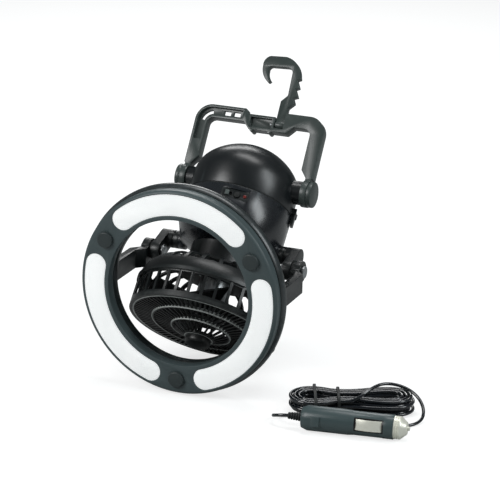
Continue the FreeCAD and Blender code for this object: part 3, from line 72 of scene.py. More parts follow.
# Where the mix node keeps its colours
FIRST_COLOUR, SECOND_COLOUR, MIXED_COLOUR = 6, 7, 2

# Meshes: lengths in millimetres, angles in degrees
MERGE_DISTANCE = 0.002
SPUN_MERGE_DISTANCE = 0.001
FLAT_ANGLE = 0.4
SHARP_ANGLE = 38
TIE_SHARP_ANGLE = 60
TIE_EDGE_WIDTH = 0.3
SMOOTH_ANGLE = 32.0


def placed(x, y, z):
    """Place in the object's frame, in metres, of one whose depth is measured from the ring's middle."""
    return Vector((x, y - MIDDLE_DEPTH, z)) * MM


RING_CENTRE = placed(0, 0, RING_HEIGHT)


def fan_place():
    """Matrix from the fan's own frame to the object's."""
    lift = Matrix.Translation(placed(0, HINGE_REACH, RING_HEIGHT))
    return lift @ Matrix.Rotation(FAN_TILT - math.pi / 2, 4, "X")


def plug_place():
    """Matrix from the car plug's own frame to the object's."""
    turned = Matrix.Rotation(PLUG_TURN, 4, "Z") @ Matrix.Rotation(PLUG_ROLL, 4, "X")
    return Matrix.Translation(placed(*PLUG_CENTRE)) @ turned


def hank_place():
    """Matrix from the hank's own frame to the object's."""
    return Matrix.Translation(placed(*HANK_CENTRE)) @ Matrix.Rotation(HANK_TURN, 4, "Z")


def supply_place():
    """Matrix from the supply plug's own frame to the object's."""
    return Matrix.Translation(placed(*SUPPLY_CENTRE)) @ Matrix.Rotation(SUPPLY_TURN, 4, "Z")


def set_camera():
    flat = math.cos(CAMERA_ELEVATION)
    back = Vector((math.sin(CAMERA_AZIMUTH) * flat, -math.cos(CAMERA_AZIMUTH) * flat,
                   math.sin(CAMERA_ELEVATION)))
    right = Vector((math.cos(CAMERA_AZIMUTH), math.sin(CAMERA_AZIMUTH), 0))
    up = back.cross(right)
    turned_right = right * math.cos(CAMERA_ROLL) + up * math.sin(CAMERA_ROLL)
    turned_up = up * math.cos(CAMERA_ROLL) - right * math.sin(CAMERA_ROLL)
    shift = turned_right * CAMERA_RIGHT + turned_up * CAMERA_UP + back * CAMERA_DISTANCE
    data = bpy.data.cameras.new("camera")
    data.sensor_width = SENSOR_WIDTH
    data.lens = FOCAL_LENGTH
    data.clip_start = 0.05
    data.clip_end = 50.0
    camera = bpy.data.objects.new("camera", data)
    turn = Matrix((turned_right, turned_up, back)).transposed().to_4x4()
    camera.matrix_world = Matrix.Translation(RING_CENTRE + shift * MM) @ turn
    bpy.context.scene.collection.objects.link(camera)
    bpy.context.scene.camera = camera


# Shader building blocks

def feed(tree, socket, value):
    """Give a socket a plain number or colour, or link it to another socket."""
    if isinstance(value, (int, float, tuple)):
        socket.default_value = value
    else:
        tree.links.new(value, socket)


def surface_group(name, inputs):
    """Empty shader group with the named inputs, each a value or a colour, and the outputs of a surface."""
    tree = bpy.data.node_groups.new(name, "ShaderNodeTree")
    for title, value in inputs:
        kind = "NodeSocketColor" if isinstance(value, tuple) else "NodeSocketFloat"
        socket = tree.interface.new_socket(name=title, in_out="INPUT", socket_type=kind)
        socket.default_value = value
    for title, kind in (("Color", "NodeSocketColor"), ("Roughness", "NodeSocketFloat"),
                        ("Height", "NodeSocketFloat")):
        tree.interface.new_socket(name=title, in_out="OUTPUT", socket_type=kind)
    return tree, tree.nodes.new("NodeGroupInput"), tree.nodes.new("NodeGroupOutput")


def calculate(tree, operation, *values, clamp=False):
    """Math node whose inputs are sockets or plain numbers."""
    node = tree.nodes.new("ShaderNodeMath")
    node.operation = operation
    node.use_clamp = clamp
    for socket, value in zip(node.inputs, values):
        feed(tree, socket, value)
    return node.outputs[0]


def noise(tree, vector, scale, detail=2.0, rough=0.5):
    node = tree.nodes.new("ShaderNodeTexNoise")
    node.inputs["Detail"].default_value = detail
    node.inputs["Roughness"].default_value = rough
    tree.links.new(vector, node.inputs["Vector"])
    feed(tree, node.inputs["Scale"], scale)
    return node.outputs["Fac"]


def blend_colours(tree, factor, first, second):
    node = tree.nodes.new("ShaderNodeMix")
    node.data_type = "RGBA"
    tree.links.new(factor, node.inputs["Factor"])
    feed(tree, node.inputs[FIRST_COLOUR], first)
    feed(tree, node.inputs[SECOND_COLOUR], second)
    return node.outputs[MIXED_COLOUR]


def spread(tree, value, given_range, wanted_range):
    """Map range node that takes one range of values to another and holds at its ends."""
    node = tree.nodes.new("ShaderNodeMapRange")
    for socket, number in zip(node.inputs[1:5], (*given_range, *wanted_range)):
        socket.default_value = number
    tree.links.new(value, node.inputs[0])
    return node.outputs[0]


def object_place(tree):
    return tree.nodes.new("ShaderNodeTexCoord").outputs["Object"]


def own_place(tree, place):
    """X, Y and Z outputs of the object coordinates seen from a placement's own frame, in metres."""
    back = place.inverted()
    mapping = tree.nodes.new("ShaderNodeMapping")
    mapping.inputs["Location"].default_value = back.to_translation()
    mapping.inputs["Rotation"].default_value = back.to_euler()
    tree.links.new(object_place(tree), mapping.inputs["Vector"])
    parts = tree.nodes.new("ShaderNodeSeparateXYZ")
    tree.links.new(mapping.outputs["Vector"], parts.inputs[0])
    return parts.outputs


def axis_distance(tree, first, second):
    """Distance from an axis, from the two coordinates across it."""
    squares = calculate(tree, "ADD", calculate(tree, "MULTIPLY", first, first),
                        calculate(tree, "MULTIPLY", second, second))
    return calculate(tree, "SQRT", squares)


def near(tree, value, middle, inner, outer):
    """1 within the inner distance of a middle value, 0 beyond the outer one."""
    offset = calculate(tree, "ABSOLUTE", calculate(tree, "SUBTRACT", value, middle * MM))
    return spread(tree, offset, (inner * MM, outer * MM), (1.0, 0.0))


def moulded_plastic_group():
    """Colour, roughness and height of moulded plastic that has been handled a little. Its paler colour on
    worn edges is wear, and on the ring light it also paints highlights along the edges and seam.
    """
    tree, given, result = surface_group(
        "moulded plastic",
        [("Color", (0.02, 0.02, 0.02, 1.0)), ("Worn and Sheen Color", (0.1, 0.1, 0.1, 1.0)), ("Roughness", 0.35),
         ("Smudges", 0.12), ("Grain Scale", 2600.0), ("Wear and Sheen", 0.5)])
    smudge_gain, patch_roughness, patch_height = 2.0, 0.04, 0.6
    place = object_place(tree)
    grain = noise(tree, place, given.outputs["Grain Scale"])
    cloud = noise(tree, place, scale=38.0, detail=4.0, rough=0.6)
    patch = noise(tree, place, scale=210.0, detail=3.0, rough=0.55)
    # Paler worn edges: real wear, and on the ring light also a painted highlight along its edges.
    edge = tree.nodes.new("ShaderNodeNewGeometry").outputs["Pointiness"]
    edge_mask = spread(tree, edge, (0.53, 0.62), (0.0, 1.0))
    worn_and_sheen = calculate(tree, "MULTIPLY", edge_mask, spread(tree, patch, (0.35, 0.7), (0.25, 1.0)))
    worn_and_sheen = calculate(tree, "MULTIPLY", worn_and_sheen, given.outputs["Wear and Sheen"], clamp=True)
    colour = blend_colours(tree, worn_and_sheen, given.outputs["Color"], given.outputs["Worn and Sheen Color"])
    tree.links.new(colour, result.inputs["Color"])
    shift = calculate(tree, "MULTIPLY", calculate(tree, "SUBTRACT", cloud, 0.5), given.outputs["Smudges"])
    rough = calculate(tree, "ADD", given.outputs["Roughness"],
                      calculate(tree, "MULTIPLY", shift, smudge_gain))
    rough = calculate(tree, "ADD", rough, calculate(tree, "MULTIPLY", patch, patch_roughness), clamp=True)
    tree.links.new(rough, result.inputs["Roughness"])
    height = calculate(tree, "ADD", grain, calculate(tree, "MULTIPLY", patch, patch_height))
    tree.links.new(height, result.inputs["Height"])
    return tree


def fine_scratch_group():
    """Roughness and height of metal with fine lines along one axis and cloudy tarnish."""
    tree, given, result = surface_group(
        "fine scratches",
        [("Color", (0.7, 0.7, 0.72, 1.0)), ("Tarnish Color", (0.4, 0.38, 0.36, 1.0)), ("Roughness", 0.25),
         ("Tarnish", 0.3)])
    line_scale, tarnish_roughness = (160.0, 2400.0, 2400.0), 0.2
    place = object_place(tree)
    stretch = tree.nodes.new("ShaderNodeMapping")
    stretch.inputs["Scale"].default_value = line_scale
    tree.links.new(place, stretch.inputs["Vector"])
    lines = noise(tree, stretch.outputs["Vector"], scale=1.0, detail=3.0, rough=0.6)
    cloud = noise(tree, place, scale=260.0, detail=4.0, rough=0.6)
    mask = calculate(tree, "MULTIPLY", spread(tree, cloud, (0.45, 0.75), (0.0, 1.0)),
                     given.outputs["Tarnish"])
    tree.links.new(blend_colours(tree, mask, given.outputs["Color"], given.outputs["Tarnish Color"]),
                   result.inputs["Color"])
    rough = calculate(tree, "ADD", given.outputs["Roughness"], spread(tree, lines, (0.3, 0.7), (-0.05, 0.08)))
    rough = calculate(tree, "ADD", rough, calculate(tree, "MULTIPLY", mask, tarnish_roughness), clamp=True)
    tree.links.new(rough, result.inputs["Roughness"])
    tree.links.new(lines, result.inputs["Height"])
    return tree


MOULDED = moulded_plastic_group()
SCRATCHED = fine_scratch_group()


def new_material(name):
    material = bpy.data.materials.new(name)
    material.use_nodes = True
    tree = material.node_tree
    return material, tree, tree.nodes["Principled BSDF"]


def grouped_material(name, shared_group, values):
    """Material whose colour and roughness come from a shared group with these values."""
    material, tree, shader = new_material(name)
    node = tree.nodes.new("ShaderNodeGroup")
    node.node_tree = shared_group
    for title, value in values.items():
        node.inputs[title].default_value = value
    tree.links.new(node.outputs["Color"], shader.inputs["Base Color"])
    tree.links.new(node.outputs["Roughness"], shader.inputs["Roughness"])
    return material, tree, shader, node


def add_bump(tree, shader, height, distance, strength=0.35):
    bump = tree.nodes.new("ShaderNodeBump")
    bump.inputs["Distance"].default_value = distance * MM
    bump.inputs["Strength"].default_value = strength
    tree.links.new(height, bump.inputs["Height"])
    tree.links.new(bump.outputs["Normal"], shader.inputs["Normal"])


def plastic(name, colour, worn_and_sheen, *, roughness, smudges, grain, bump, coat=0.0, wear_and_sheen=0.5, specular=0.5):
    material, tree, shader, node = grouped_material(name, MOULDED, {
        "Color": (*colour, 1.0), "Worn and Sheen Color": (*worn_and_sheen, 1.0), "Roughness": roughness, "Smudges": smudges,
        "Grain Scale": grain, "Wear and Sheen": wear_and_sheen})
    shader.inputs["Coat Weight"].default_value = coat
    shader.inputs["Coat Roughness"].default_value = 0.22
    shader.inputs["Specular IOR Level"].default_value = specular
    add_bump(tree, shader, node.outputs["Height"], bump)
    return material


def metal(name, colour, tarnish_colour, *, roughness, tarnish, metallic=1.0):
    material, tree, shader, node = grouped_material(name, SCRATCHED, {
        "Color": (*colour, 1.0), "Tarnish Color": (*tarnish_colour, 1.0), "Roughness": roughness,
        "Tarnish": tarnish})
    shader.inputs["Metallic"].default_value = metallic
    add_bump(tree, shader, node.outputs["Height"], 0.01, strength=0.25)
    return material


def masked_plastic(name, mask_maker, plain, painted_light_colour, roughness):
    """Moulded plastic whose colour changes where a mask says so, to paint light and shade onto it."""
    material, tree, shader, node = grouped_material(name, MOULDED, {
        "Worn and Sheen Color": (0.12, 0.14, 0.14, 1.0), "Roughness": roughness})
    tree.links.new(blend_colours(tree, mask_maker(tree), plain, painted_light_colour), node.inputs["Color"])
    add_bump(tree, shader, node.outputs["Height"], 0.02)
    return material


def guard_rib_highlight_mask(tree):
    """1 on a thin line along each of the guard's round ribs, where a pale painted highlight goes."""
    axes = own_place(tree, fan_place())
    radius = axis_distance(tree, axes["X"], axes["Y"])
    total = 0.0
    for rib_radius in (62.4, 44.9, 26.6, 12.4):
        line = near(tree, radius, middle=rib_radius, inner=0.3, outer=0.8)
        total = calculate(tree, "ADD", line, total, clamp=True)
    return total


def plug_recess_shade_mask(tree):
    """1 in the recess round each side contact of the car plug, where a near-black painted shade goes."""
    axes = own_place(tree, plug_place())
    along = near(tree, axes["X"], middle=57.0, inner=12.1, outer=12.4)
    across = near(tree, axes["Z"], middle=0.0, inner=5.5, outer=5.8)
    return calculate(tree, "MULTIPLY", along, across)


def lens_material():
    """Frosted white lens with rings of small prisms round the ring light's middle, and a faint painted glow
    though the light is off.
    """
    prism_pitch, prism_spokes = 2.3, 210.0
    dim_white, clear_white = (0.74, 0.78, 0.78, 1.0), (0.99, 0.99, 0.985, 1.0)
    even_white = (0.96, 0.965, 0.96, 1.0)
    material, tree, shader = new_material("lens_frosted_painted_glow")
    axes = own_place(tree, Matrix.Translation(RING_CENTRE))
    radius = axis_distance(tree, axes["X"], axes["Z"])
    angle = calculate(tree, "ARCTAN2", axes["Z"], axes["X"])
    rings = calculate(tree, "SINE", calculate(tree, "MULTIPLY", radius, 2 * math.pi / (prism_pitch * MM)))
    spokes = calculate(tree, "SINE", calculate(tree, "MULTIPLY", angle, prism_spokes))
    dots = calculate(tree, "MULTIPLY", rings, spokes)
    cloud = noise(tree, object_place(tree), scale=70.0, detail=3.0)
    tint = blend_colours(tree, spread(tree, dots, (-0.7, 0.9), (0.0, 1.0)), dim_white, clear_white)
    soft = blend_colours(tree, spread(tree, cloud, (0.3, 0.7), (0.0, 0.35)), tint, even_white)
    tree.links.new(soft, shader.inputs["Base Color"])
    tree.links.new(spread(tree, cloud, (0.3, 0.7), (0.24, 0.38)), shader.inputs["Roughness"])
    shader.inputs["Subsurface Weight"].default_value = 0.25
    shader.inputs["Subsurface Radius"].default_value = (0.004, 0.004, 0.004)
    shader.inputs["Subsurface Scale"].default_value = 0.5
    shader.inputs["Coat Weight"].default_value = 0.3
    shader.inputs["Coat Roughness"].default_value = 0.12
    # Painted glow: the light is off, and this faint emission only makes the lens read bright white.
    tree.links.new(soft, shader.inputs["Emission Color"])
    shader.inputs["Emission Strength"].default_value = 0.46
    add_bump(tree, shader, dots, 0.08)
    return material


def cord_material():
    """Glossy black insulation with short paler streaks painted into its colour as sheen."""
    # The paler streak colour is painted sheen along the cord.
    black, sheen_streak = (0.004, 0.006, 0.009, 1.0), (0.018, 0.025, 0.032, 1.0)
    material, tree, shader = new_material("cord_jacket")
    place = object_place(tree)
    streaks = noise(tree, place, scale=620.0, detail=3.0, rough=0.6)
    cloud = noise(tree, place, scale=90.0)
    tint = blend_colours(tree, spread(tree, streaks, (0.5, 0.75), (0.0, 1.0)), black, sheen_streak)
    tree.links.new(tint, shader.inputs["Base Color"])
    tree.links.new(spread(tree, cloud, (0.3, 0.7), (0.14, 0.26)), shader.inputs["Roughness"])
    shader.inputs["Coat Weight"].default_value = 0.8
    shader.inputs["Coat Roughness"].default_value = 0.1
    add_bump(tree, shader, streaks, 0.008, strength=0.2)
    return material


MATERIALS = {
    # The two ring materials have a pale worn colour and high wear: edge wear that also paints highlights
    # along the ring's edges and seam.
    "ring": plastic("ring_satin_grey", (0.060, 0.085, 0.089), (0.36, 0.42, 0.44), roughness=0.40,
                    smudges=0.10, grain=2200.0, bump=0.03, coat=0.1, wear_and_sheen=0.9),
    # The rear cover is the ring's own grey plastic, made darker as painted shade on the ring's sides.
    "rim": plastic("ring_satin_painted_shade", (0.010, 0.015, 0.015), (0.36, 0.42, 0.46), roughness=0.30,
                   smudges=0.10, grain=2200.0, bump=0.03, coat=0.3, wear_and_sheen=0.9),
    "gloss": plastic("housing_gloss_black", (0.004, 0.006, 0.009), (0.10, 0.125, 0.14), roughness=0.25,
                     smudges=0.05, grain=1500.0, bump=0.01, coat=0.6, wear_and_sheen=0.6),
    "satin": plastic("fan_satin_black", (0.007, 0.0095, 0.010), (0.07, 0.085, 0.085), roughness=0.34,
                     smudges=0.12, grain=2400.0, bump=0.02),
    "cap": plastic("cap_satin_black", (0.006, 0.0085, 0.010), (0.08, 0.10, 0.105), roughness=0.32,
                   smudges=0.10, grain=2000.0, bump=0.015, coat=0.15, wear_and_sheen=0.6),
    "handle": plastic("handle_black", (0.034, 0.047, 0.044), (0.22, 0.26, 0.25), roughness=0.34,
                      smudges=0.14, grain=1800.0, bump=0.03, coat=0.1, wear_and_sheen=0.7),
    "blade": plastic("blade_black", (0.005, 0.0065, 0.007), (0.05, 0.06, 0.06), roughness=0.28,
                     smudges=0.1, grain=2000.0, bump=0.01, wear_and_sheen=0.3),
    "foot": plastic("foot_rubber", (0.030, 0.042, 0.043), (0.10, 0.12, 0.12), roughness=0.46,
                    smudges=0.12, grain=1400.0, bump=0.05),
    "rubber": plastic("rubber_black", (0.010, 0.012, 0.012), (0.07, 0.08, 0.08), roughness=0.55,
                      smudges=0.15, grain=1400.0, bump=0.05, wear_and_sheen=0.4, specular=0.35),
    "relief": plastic("relief_black", (0.007, 0.009, 0.010), (0.05, 0.06, 0.06), roughness=0.42,
                      smudges=0.1, grain=1600.0, bump=0.03),
    "white": plastic("tie_white", (0.55, 0.56, 0.56), (0.7, 0.7, 0.7), roughness=0.45,
                     smudges=0.1, grain=1500.0, bump=0.02, wear_and_sheen=0.2),
    "board": plastic("board_green", (0.02, 0.11, 0.05), (0.1, 0.2, 0.1), roughness=0.4,
                     smudges=0.08, grain=1200.0, bump=0.01, wear_and_sheen=0.2),
    "led": plastic("led_yellow", (0.85, 0.72, 0.25), (0.95, 0.9, 0.6), roughness=0.3,
                   smudges=0.05, grain=1500.0, bump=0.01, wear_and_sheen=0.2),
    "lamp": plastic("lamp_red", (0.16, 0.02, 0.016), (0.4, 0.1, 0.1), roughness=0.12,
                    smudges=0.03, grain=1500.0, bump=0.005, coat=0.5, wear_and_sheen=0.1),
    "steel": metal("screw_steel", (0.40, 0.42, 0.43), (0.16, 0.16, 0.15), roughness=0.32, tarnish=0.35),
    "nickel": metal("contact_nickel", (0.93, 0.93, 0.82), (0.60, 0.59, 0.50), roughness=0.34, tarnish=0.25,
                    metallic=0.35),
    "brass": metal("contact_brass", (0.72, 0.55, 0.26), (0.4, 0.3, 0.15), roughness=0.28, tarnish=0.35),
    # The guard is black; the pale lines on its round ribs are painted highlights.
    "guard": masked_plastic("guard_black_painted_rib_highlights", guard_rib_highlight_mask, (0.006, 0.0075, 0.0075, 1.0),
                            (0.62, 0.66, 0.64, 1.0), roughness=0.36),
    # The car plug is slate grey; the near-black round its side contacts is painted shade in the recesses.
    "plug": masked_plastic("plug_slate_painted_recess_shade", plug_recess_shade_mask, (0.056, 0.084, 0.087, 1.0), (0.003, 0.003, 0.003, 1.0),
                           roughness=0.33),
    "lens": lens_material(),
    "cord": cord_material(),
}

# Each node: its finish, its material slot in the record, and how wide its moulded edges are rounded
FINISHES = {
    "ring_front_cover": ("ring", "ring_satin", 0.5), "ring_rear_cover": ("rim", "ring_satin", 0.4),
    "lens_top": ("lens", "lens_white", 0.3), "lens_left": ("lens", "lens_white", 0.3),
    "lens_right": ("lens", "lens_white", 0.3), "led_board": ("board", "board_green", 0),
    "leds": ("led", "led_yellow", 0.2), "ring_feet": ("foot", "rubber_black", 0.3),
    "ring_screws": ("steel", "steel", 0.3), "arm_screws": ("steel", "steel", 0.3),
    "ring_arm_left": ("satin", "shell_satin", 0.6), "ring_arm_right": ("satin", "shell_satin", 0.6),
    "hinge_pins": ("steel", "steel", 0.5), "hinge_nuts": ("steel", "steel", 0.3),
    "hinge_washers": ("rubber", "rubber_black", 0.2),
    "pivot_bracket_left": ("satin", "shell_satin", 0.5), "pivot_bracket_right": ("satin", "shell_satin", 0.5),
    "bracket_screws": ("steel", "steel", 0.3), "housing_body": ("gloss", "shell_gloss", 0.4),
    "housing_screws": ("steel", "steel", 0.3), "battery_cap": ("cap", "shell_satin", 0.4),
    "cap_seal": ("rubber", "rubber_black", 0), "cap_plate": ("white", "plastic_white", 0.2),
    "cap_contacts": ("brass", "brass_contact", 0.1), "cap_catch": ("satin", "shell_satin", 0.4),
    "cell_cradle": ("satin", "shell_satin", 0.3), "cell_contacts": ("brass", "brass_contact", 0.1),
    "switch_panel": ("satin", "shell_satin", 0.2), "fan_switch": ("handle", "shell_satin", 0.3),
    "light_button": ("rubber", "rubber_black", 0.4), "charge_light": ("lamp", "lamp_red", 0.3),
    "supply_socket": ("satin", "shell_satin", 0.3), "supply_socket_pin": ("nickel", "chrome_metal", 0.2),
    "cage_back": ("satin", "shell_satin", 0), "front_guard": ("guard", "guard_grey", 0),
    "hub_cap": ("guard", "guard_grey", 0.4), "motor": ("steel", "steel", 0.5),
    "motor_plate": ("steel", "steel", 0.2), "motor_screws": ("steel", "steel", 0.2),
    "motor_shaft": ("steel", "steel", 0.2), "impeller": ("blade", "shell_satin", 0),
    "handle": ("handle", "handle_black", 0.6), "handle_pins": ("steel", "steel", 0.3),
    "handle_caps": ("handle", "handle_black", 0.8), "hook": ("handle", "handle_black", 0.7),
    "hook_pin": ("steel", "steel", 0.2), "plug_body": ("plug", "plug_grey", 0.6),
    "plug_contact_near": ("nickel", "chrome_metal", 0.2), "plug_contact_far": ("nickel", "chrome_metal", 0.2),
    "plug_carrier": ("satin", "shell_satin", 0), "plug_fuse": ("nickel", "chrome_metal", 0.3),
    "plug_tip": ("nickel", "chrome_metal", 0.4), "supply_plug": ("plug", "plug_grey", 0.4),
    "supply_barrel": ("nickel", "chrome_metal", 0.2),
}

BODY_OF = {member: body_name for body_name, members in frame["record"]["behaviour"]["bodies"].items()
           for member in members}


def finish_mesh(name, shape, material):
    """Object at the origin from a bmesh, shaded smooth except at its sharp edges."""
    mesh = bpy.data.meshes.new(name)
    shape.to_mesh(mesh)
    shape.free()
    mesh.shade_smooth()
    mesh.set_sharp_from_angle(angle=math.radians(SMOOTH_ANGLE))
    piece = bpy.data.objects.new(name, mesh)
    bpy.context.scene.collection.objects.link(piece)
    mesh.materials.append(material)
    return piece


def add_piece(name, shape, finish, body, replaced):
    """Put a piece on its body and the node it stands for."""
    piece = finish_mesh(name, shape, MATERIALS[finish])
    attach(piece, body)
    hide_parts(replaced)
    return piece


def add_lead_piece(name, shape, place, finish, replaced):
    """Put a piece modelled in its own frame in its place on the lead."""
    bmesh.ops.transform(shape, matrix=place, verts=shape.verts)
    return add_piece(name, shape, finish, "lead", replaced)


def round_edges(shape, least_angle, width):
    """Round the edges whose two faces meet at more than an angle."""
    sharp = [edge for edge in shape.edges
             if len(edge.link_faces) == 2 and edge.calc_face_angle() > math.radians(least_angle)]
    bmesh.ops.bevel(shape, geom=sharp, offset=width * MM, offset_type="OFFSET", affect="EDGES", segments=2,
                    profile=0.5, material=-1, clamp_overlap=True)


def rounded_copy(node, finish, edge_width):
    """The node's own shape with its doubles merged, its flat faces whole and its edges rounded."""
    shape = bmesh.new()
    shape.from_mesh(frame["nodes"][node].data)
    bmesh.ops.remove_doubles(shape, verts=shape.verts, dist=MERGE_DISTANCE * MM)
    bmesh.ops.dissolve_limit(shape, angle_limit=math.radians(FLAT_ANGLE), use_dissolve_boundaries=False,
                             verts=shape.verts, edges=shape.edges, delimit=set())
    if edge_width:
        round_edges(shape, SHARP_ANGLE, edge_width)
    add_piece("finished_" + node, shape, finish, BODY_OF[node], node)


# Lead: the control points of its legs, from the car plug to the supply plug

PLUG_LEG = ((-12.0, 0, 0), (-15.6, 0, 0))
FIRST_FLOOR_LEG = ((102.4, -24.4, 9.2), (97.6, -21.0, 7.0), (95.6, -15.5, 4.6), (97.1, -9.9, 2.7),
                   (101.6, -5.9, 1.8), (109.2, -3.0, 2.0))
HANK_ENTRY = (-31.0, -18.7, 3.0)
CROSSING_LEG = ((4.5, -12.7, 12.9), (10.5, -13.1, 14.5), (17.0, -9.8, 18.0), (24.0, -3.4, 20.9),
                (31.5, 3.6, 22.0), (40.5, 7.4, 21.2), (50.0, 6.6, 19.4), (58.6, 2.2, 16.6),
                (64.8, -5.0, 12.4), (67.6, -13.6, 7.6))
LAST_FLOOR_LEG = ((209.9, 35.4, 3.8), (208.9, 27.6, 2.1), (205.8, 20.9, 1.7), (200.9, 15.6, 1.9),
                  (195.1, 12.1, 3.2))
SUPPLY_LEG = ((-11.0, 0, 0), (-7.0, 0, 0))


def hank_points():
    """Control points of the hank, in its own frame: runs to the right on the near side and back on the
    far side, drawn in at the waist, with half a turn at each end."""
    left_run, right_run, step, draw, inner_half = 26.0, 42.0, 3.7, 6.0, 1.6
    layers, loops, layer_height, floor = 4, 3, 3.3, 3.0
    waist = inner_half + loops * step
    wide = waist + draw
    corner = math.tan(math.radians(22.5))
    points = []
    before = floor

    def run(u_start, v_start, u_end, v_end, z_start, z_end):
        """The two corners of a drawn-in run: it leaves and arrives along the hank."""
        span = u_end - u_start
        reach = (span * span + (v_end - v_start) ** 2) / (4 * span)
        for share, u, v in ((reach / span, u_start + reach, v_start),
                            (1 - reach / span, u_end - reach, v_end)):
            points.append((u, v, z_start + (z_end - z_start) * share))

    def half_turn(u, v_start, v_end, z, side):
        """Four corners round one end of the hank."""
        radius = abs(v_end - v_start) / 2
        middle = (v_start + v_end) / 2
        way = 1 if v_end > v_start else -1
        for out, along in ((corner, -1.0), (1.0, -corner), (1.0, corner), (corner, 1.0)):
            points.append((u + side * radius * out, middle + way * radius * along, z))

    for layer in range(layers):
        height = floor + layer * layer_height
        inward = layer % 2 == 0
        for loop in range(loops):
            near_side = (loop if inward else loops - loop) * step
            far_side = near_side + step / 2 if inward else near_side - step / 2
            after = near_side + step if inward else near_side - step
            part_way = before + (height - before) * left_run / (left_run + right_run)
            run(-left_run, near_side - wide, 0, near_side - waist, before, part_way)
            run(0, near_side - waist, right_run, near_side - wide, part_way, height)
            half_turn(right_run, near_side - wide, wide - far_side, height, 1)
            run(right_run, wide - far_side, 0, waist - far_side, height, height)
            run(0, waist - far_side, -left_run, wide - far_side, height, height)
            half_turn(-left_run, wide - far_side, after - wide, height, -1)
            before = height
    run(-left_run, -wide, 0, -waist, before, before)
    return points


def seen_from(place, points):
    """Points of a placement's own frame, in the object's frame and in metres."""
    return [place @ (Vector(point) * MM) for point in points]


def lead_points():
    """Route of the whole lead in the object's frame, from the car plug to the supply plug."""
    points = seen_from(plug_place(), PLUG_LEG)
    points += [placed(*point) for point in FIRST_FLOOR_LEG]
    points += seen_from(hank_place(), [HANK_ENTRY, *hank_points(), *CROSSING_LEG])
    points += [placed(*point) for point in LAST_FLOOR_LEG]
    return points + seen_from(supply_place(), SUPPLY_LEG)


def make_lead():
    points = lead_points()
    curve = bpy.data.curves.new("lead_cord", "CURVE")
    curve.dimensions = "3D"
    curve.bevel_depth = CORD_RADIUS * MM
    curve.bevel_resolution = 4
    curve.resolution_u = 5
    curve.use_fill_caps = True
    spline = curve.splines.new("NURBS")
    spline.points.add(len(points) - 1)
    for knot, place in zip(spline.points, points):
        knot.co = (*place, 1.0)
    spline.order_u = 3
    spline.use_endpoint_u = True
    lead = bpy.data.objects.new("lead_cord", curve)
    bpy.context.scene.collection.objects.link(lead)
    curve.materials.append(MATERIALS["cord"])
    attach(lead, "lead")
    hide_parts("lead_tail", "cord_hank", "lead_end")
    return lead, points[0]


def turned_piece(profile, steps):
    """Closed profile of (along, radius), spun about the X axis."""
    shape = bmesh.new()
    verts = [shape.verts.new((along * MM, radius * MM, 0)) for along, radius in profile]
    edges = [shape.edges.new((verts[index], verts[(index + 1) % len(verts)])) for index in range(len(verts))]
    bmesh.ops.spin(shape, geom=verts + edges, cent=(0, 0, 0), axis=(1, 0, 0), angle=2 * math.pi,
                   steps=steps, use_merge=True)
    bmesh.ops.remove_doubles(shape, verts=shape.verts, dist=SPUN_MERGE_DISTANCE * MM)
    bmesh.ops.recalc_face_normals(shape, faces=shape.faces)
    return shape


def ribbed_relief():
    """Tapered boot with ribs between the car plug and its cord."""
    length, bore, tail_radius = 12.0, 1.5, 2.5
    ribs, first_rib, rib_pitch, first_radius, widening = 5, -11.6, 2.1, 2.7, 0.2
    rib_profile = ((0, 0), (0.25, 0.22), (1.1, 0.26), (1.35, 0.05), (1.5, -0.35), (1.9, -0.35))
    profile = [(0.0, bore), (-length, bore), (-length, tail_radius)]
    for index in range(ribs):
        start = first_rib + index * rib_pitch
        radius = first_radius + index * widening
        profile.extend((start + along, radius + out) for along, out in rib_profile)
    profile.extend([(-0.8, 3.5), (0.0, 3.6)])
    return turned_piece(profile, steps=40)


def ridged_nose():
    """Metal nose of the car plug, with grooves round its straight part and a rounded shoulder."""
    start, length, radius, edge, groove_depth = 77.0, 11.0, 9.6, 0.2, 0.45
    bore, bore_depth, pin_bore = 4.6, 6.0, 1.95
    groove_profile = ((0, 0), (0.25, groove_depth), (0.75, groove_depth), (1.0, 0))
    shoulder_profile = ((5.2, radius), (5.9, 9.3), (6.6, 8.7), (8.8, 6.8), (10.2, 5.8), (10.8, 5.3),
                        (length, 4.8))
    profile = [(start, bore), (start, radius - edge), (start + edge, radius)]
    for groove in (1.4, 3.2):
        profile.extend((start + groove + along, radius - depth) for along, depth in groove_profile)
    profile.extend((start + along, out) for along, out in shoulder_profile)
    profile.extend([(start + length, pin_bore), (start + bore_depth, pin_bore), (start + bore_depth, bore)])
    return turned_piece(profile, steps=64)


def rounded_outline(half_width, low, high, radius):
    """Rectangle with round corners, as (across, height) places in order."""
    corner_steps = 6
    right, left, top, bottom = half_width - radius, radius - half_width, high - radius, low + radius
    places = []
    for across, height, start in ((right, top, 0), (left, top, 90), (left, bottom, 180),
                                  (right, bottom, 270)):
        for index in range(corner_steps + 1):
            angle = math.radians(start + 90.0 * index / corner_steps)
            places.append((across + radius * math.cos(angle), height + radius * math.sin(angle)))
    return places


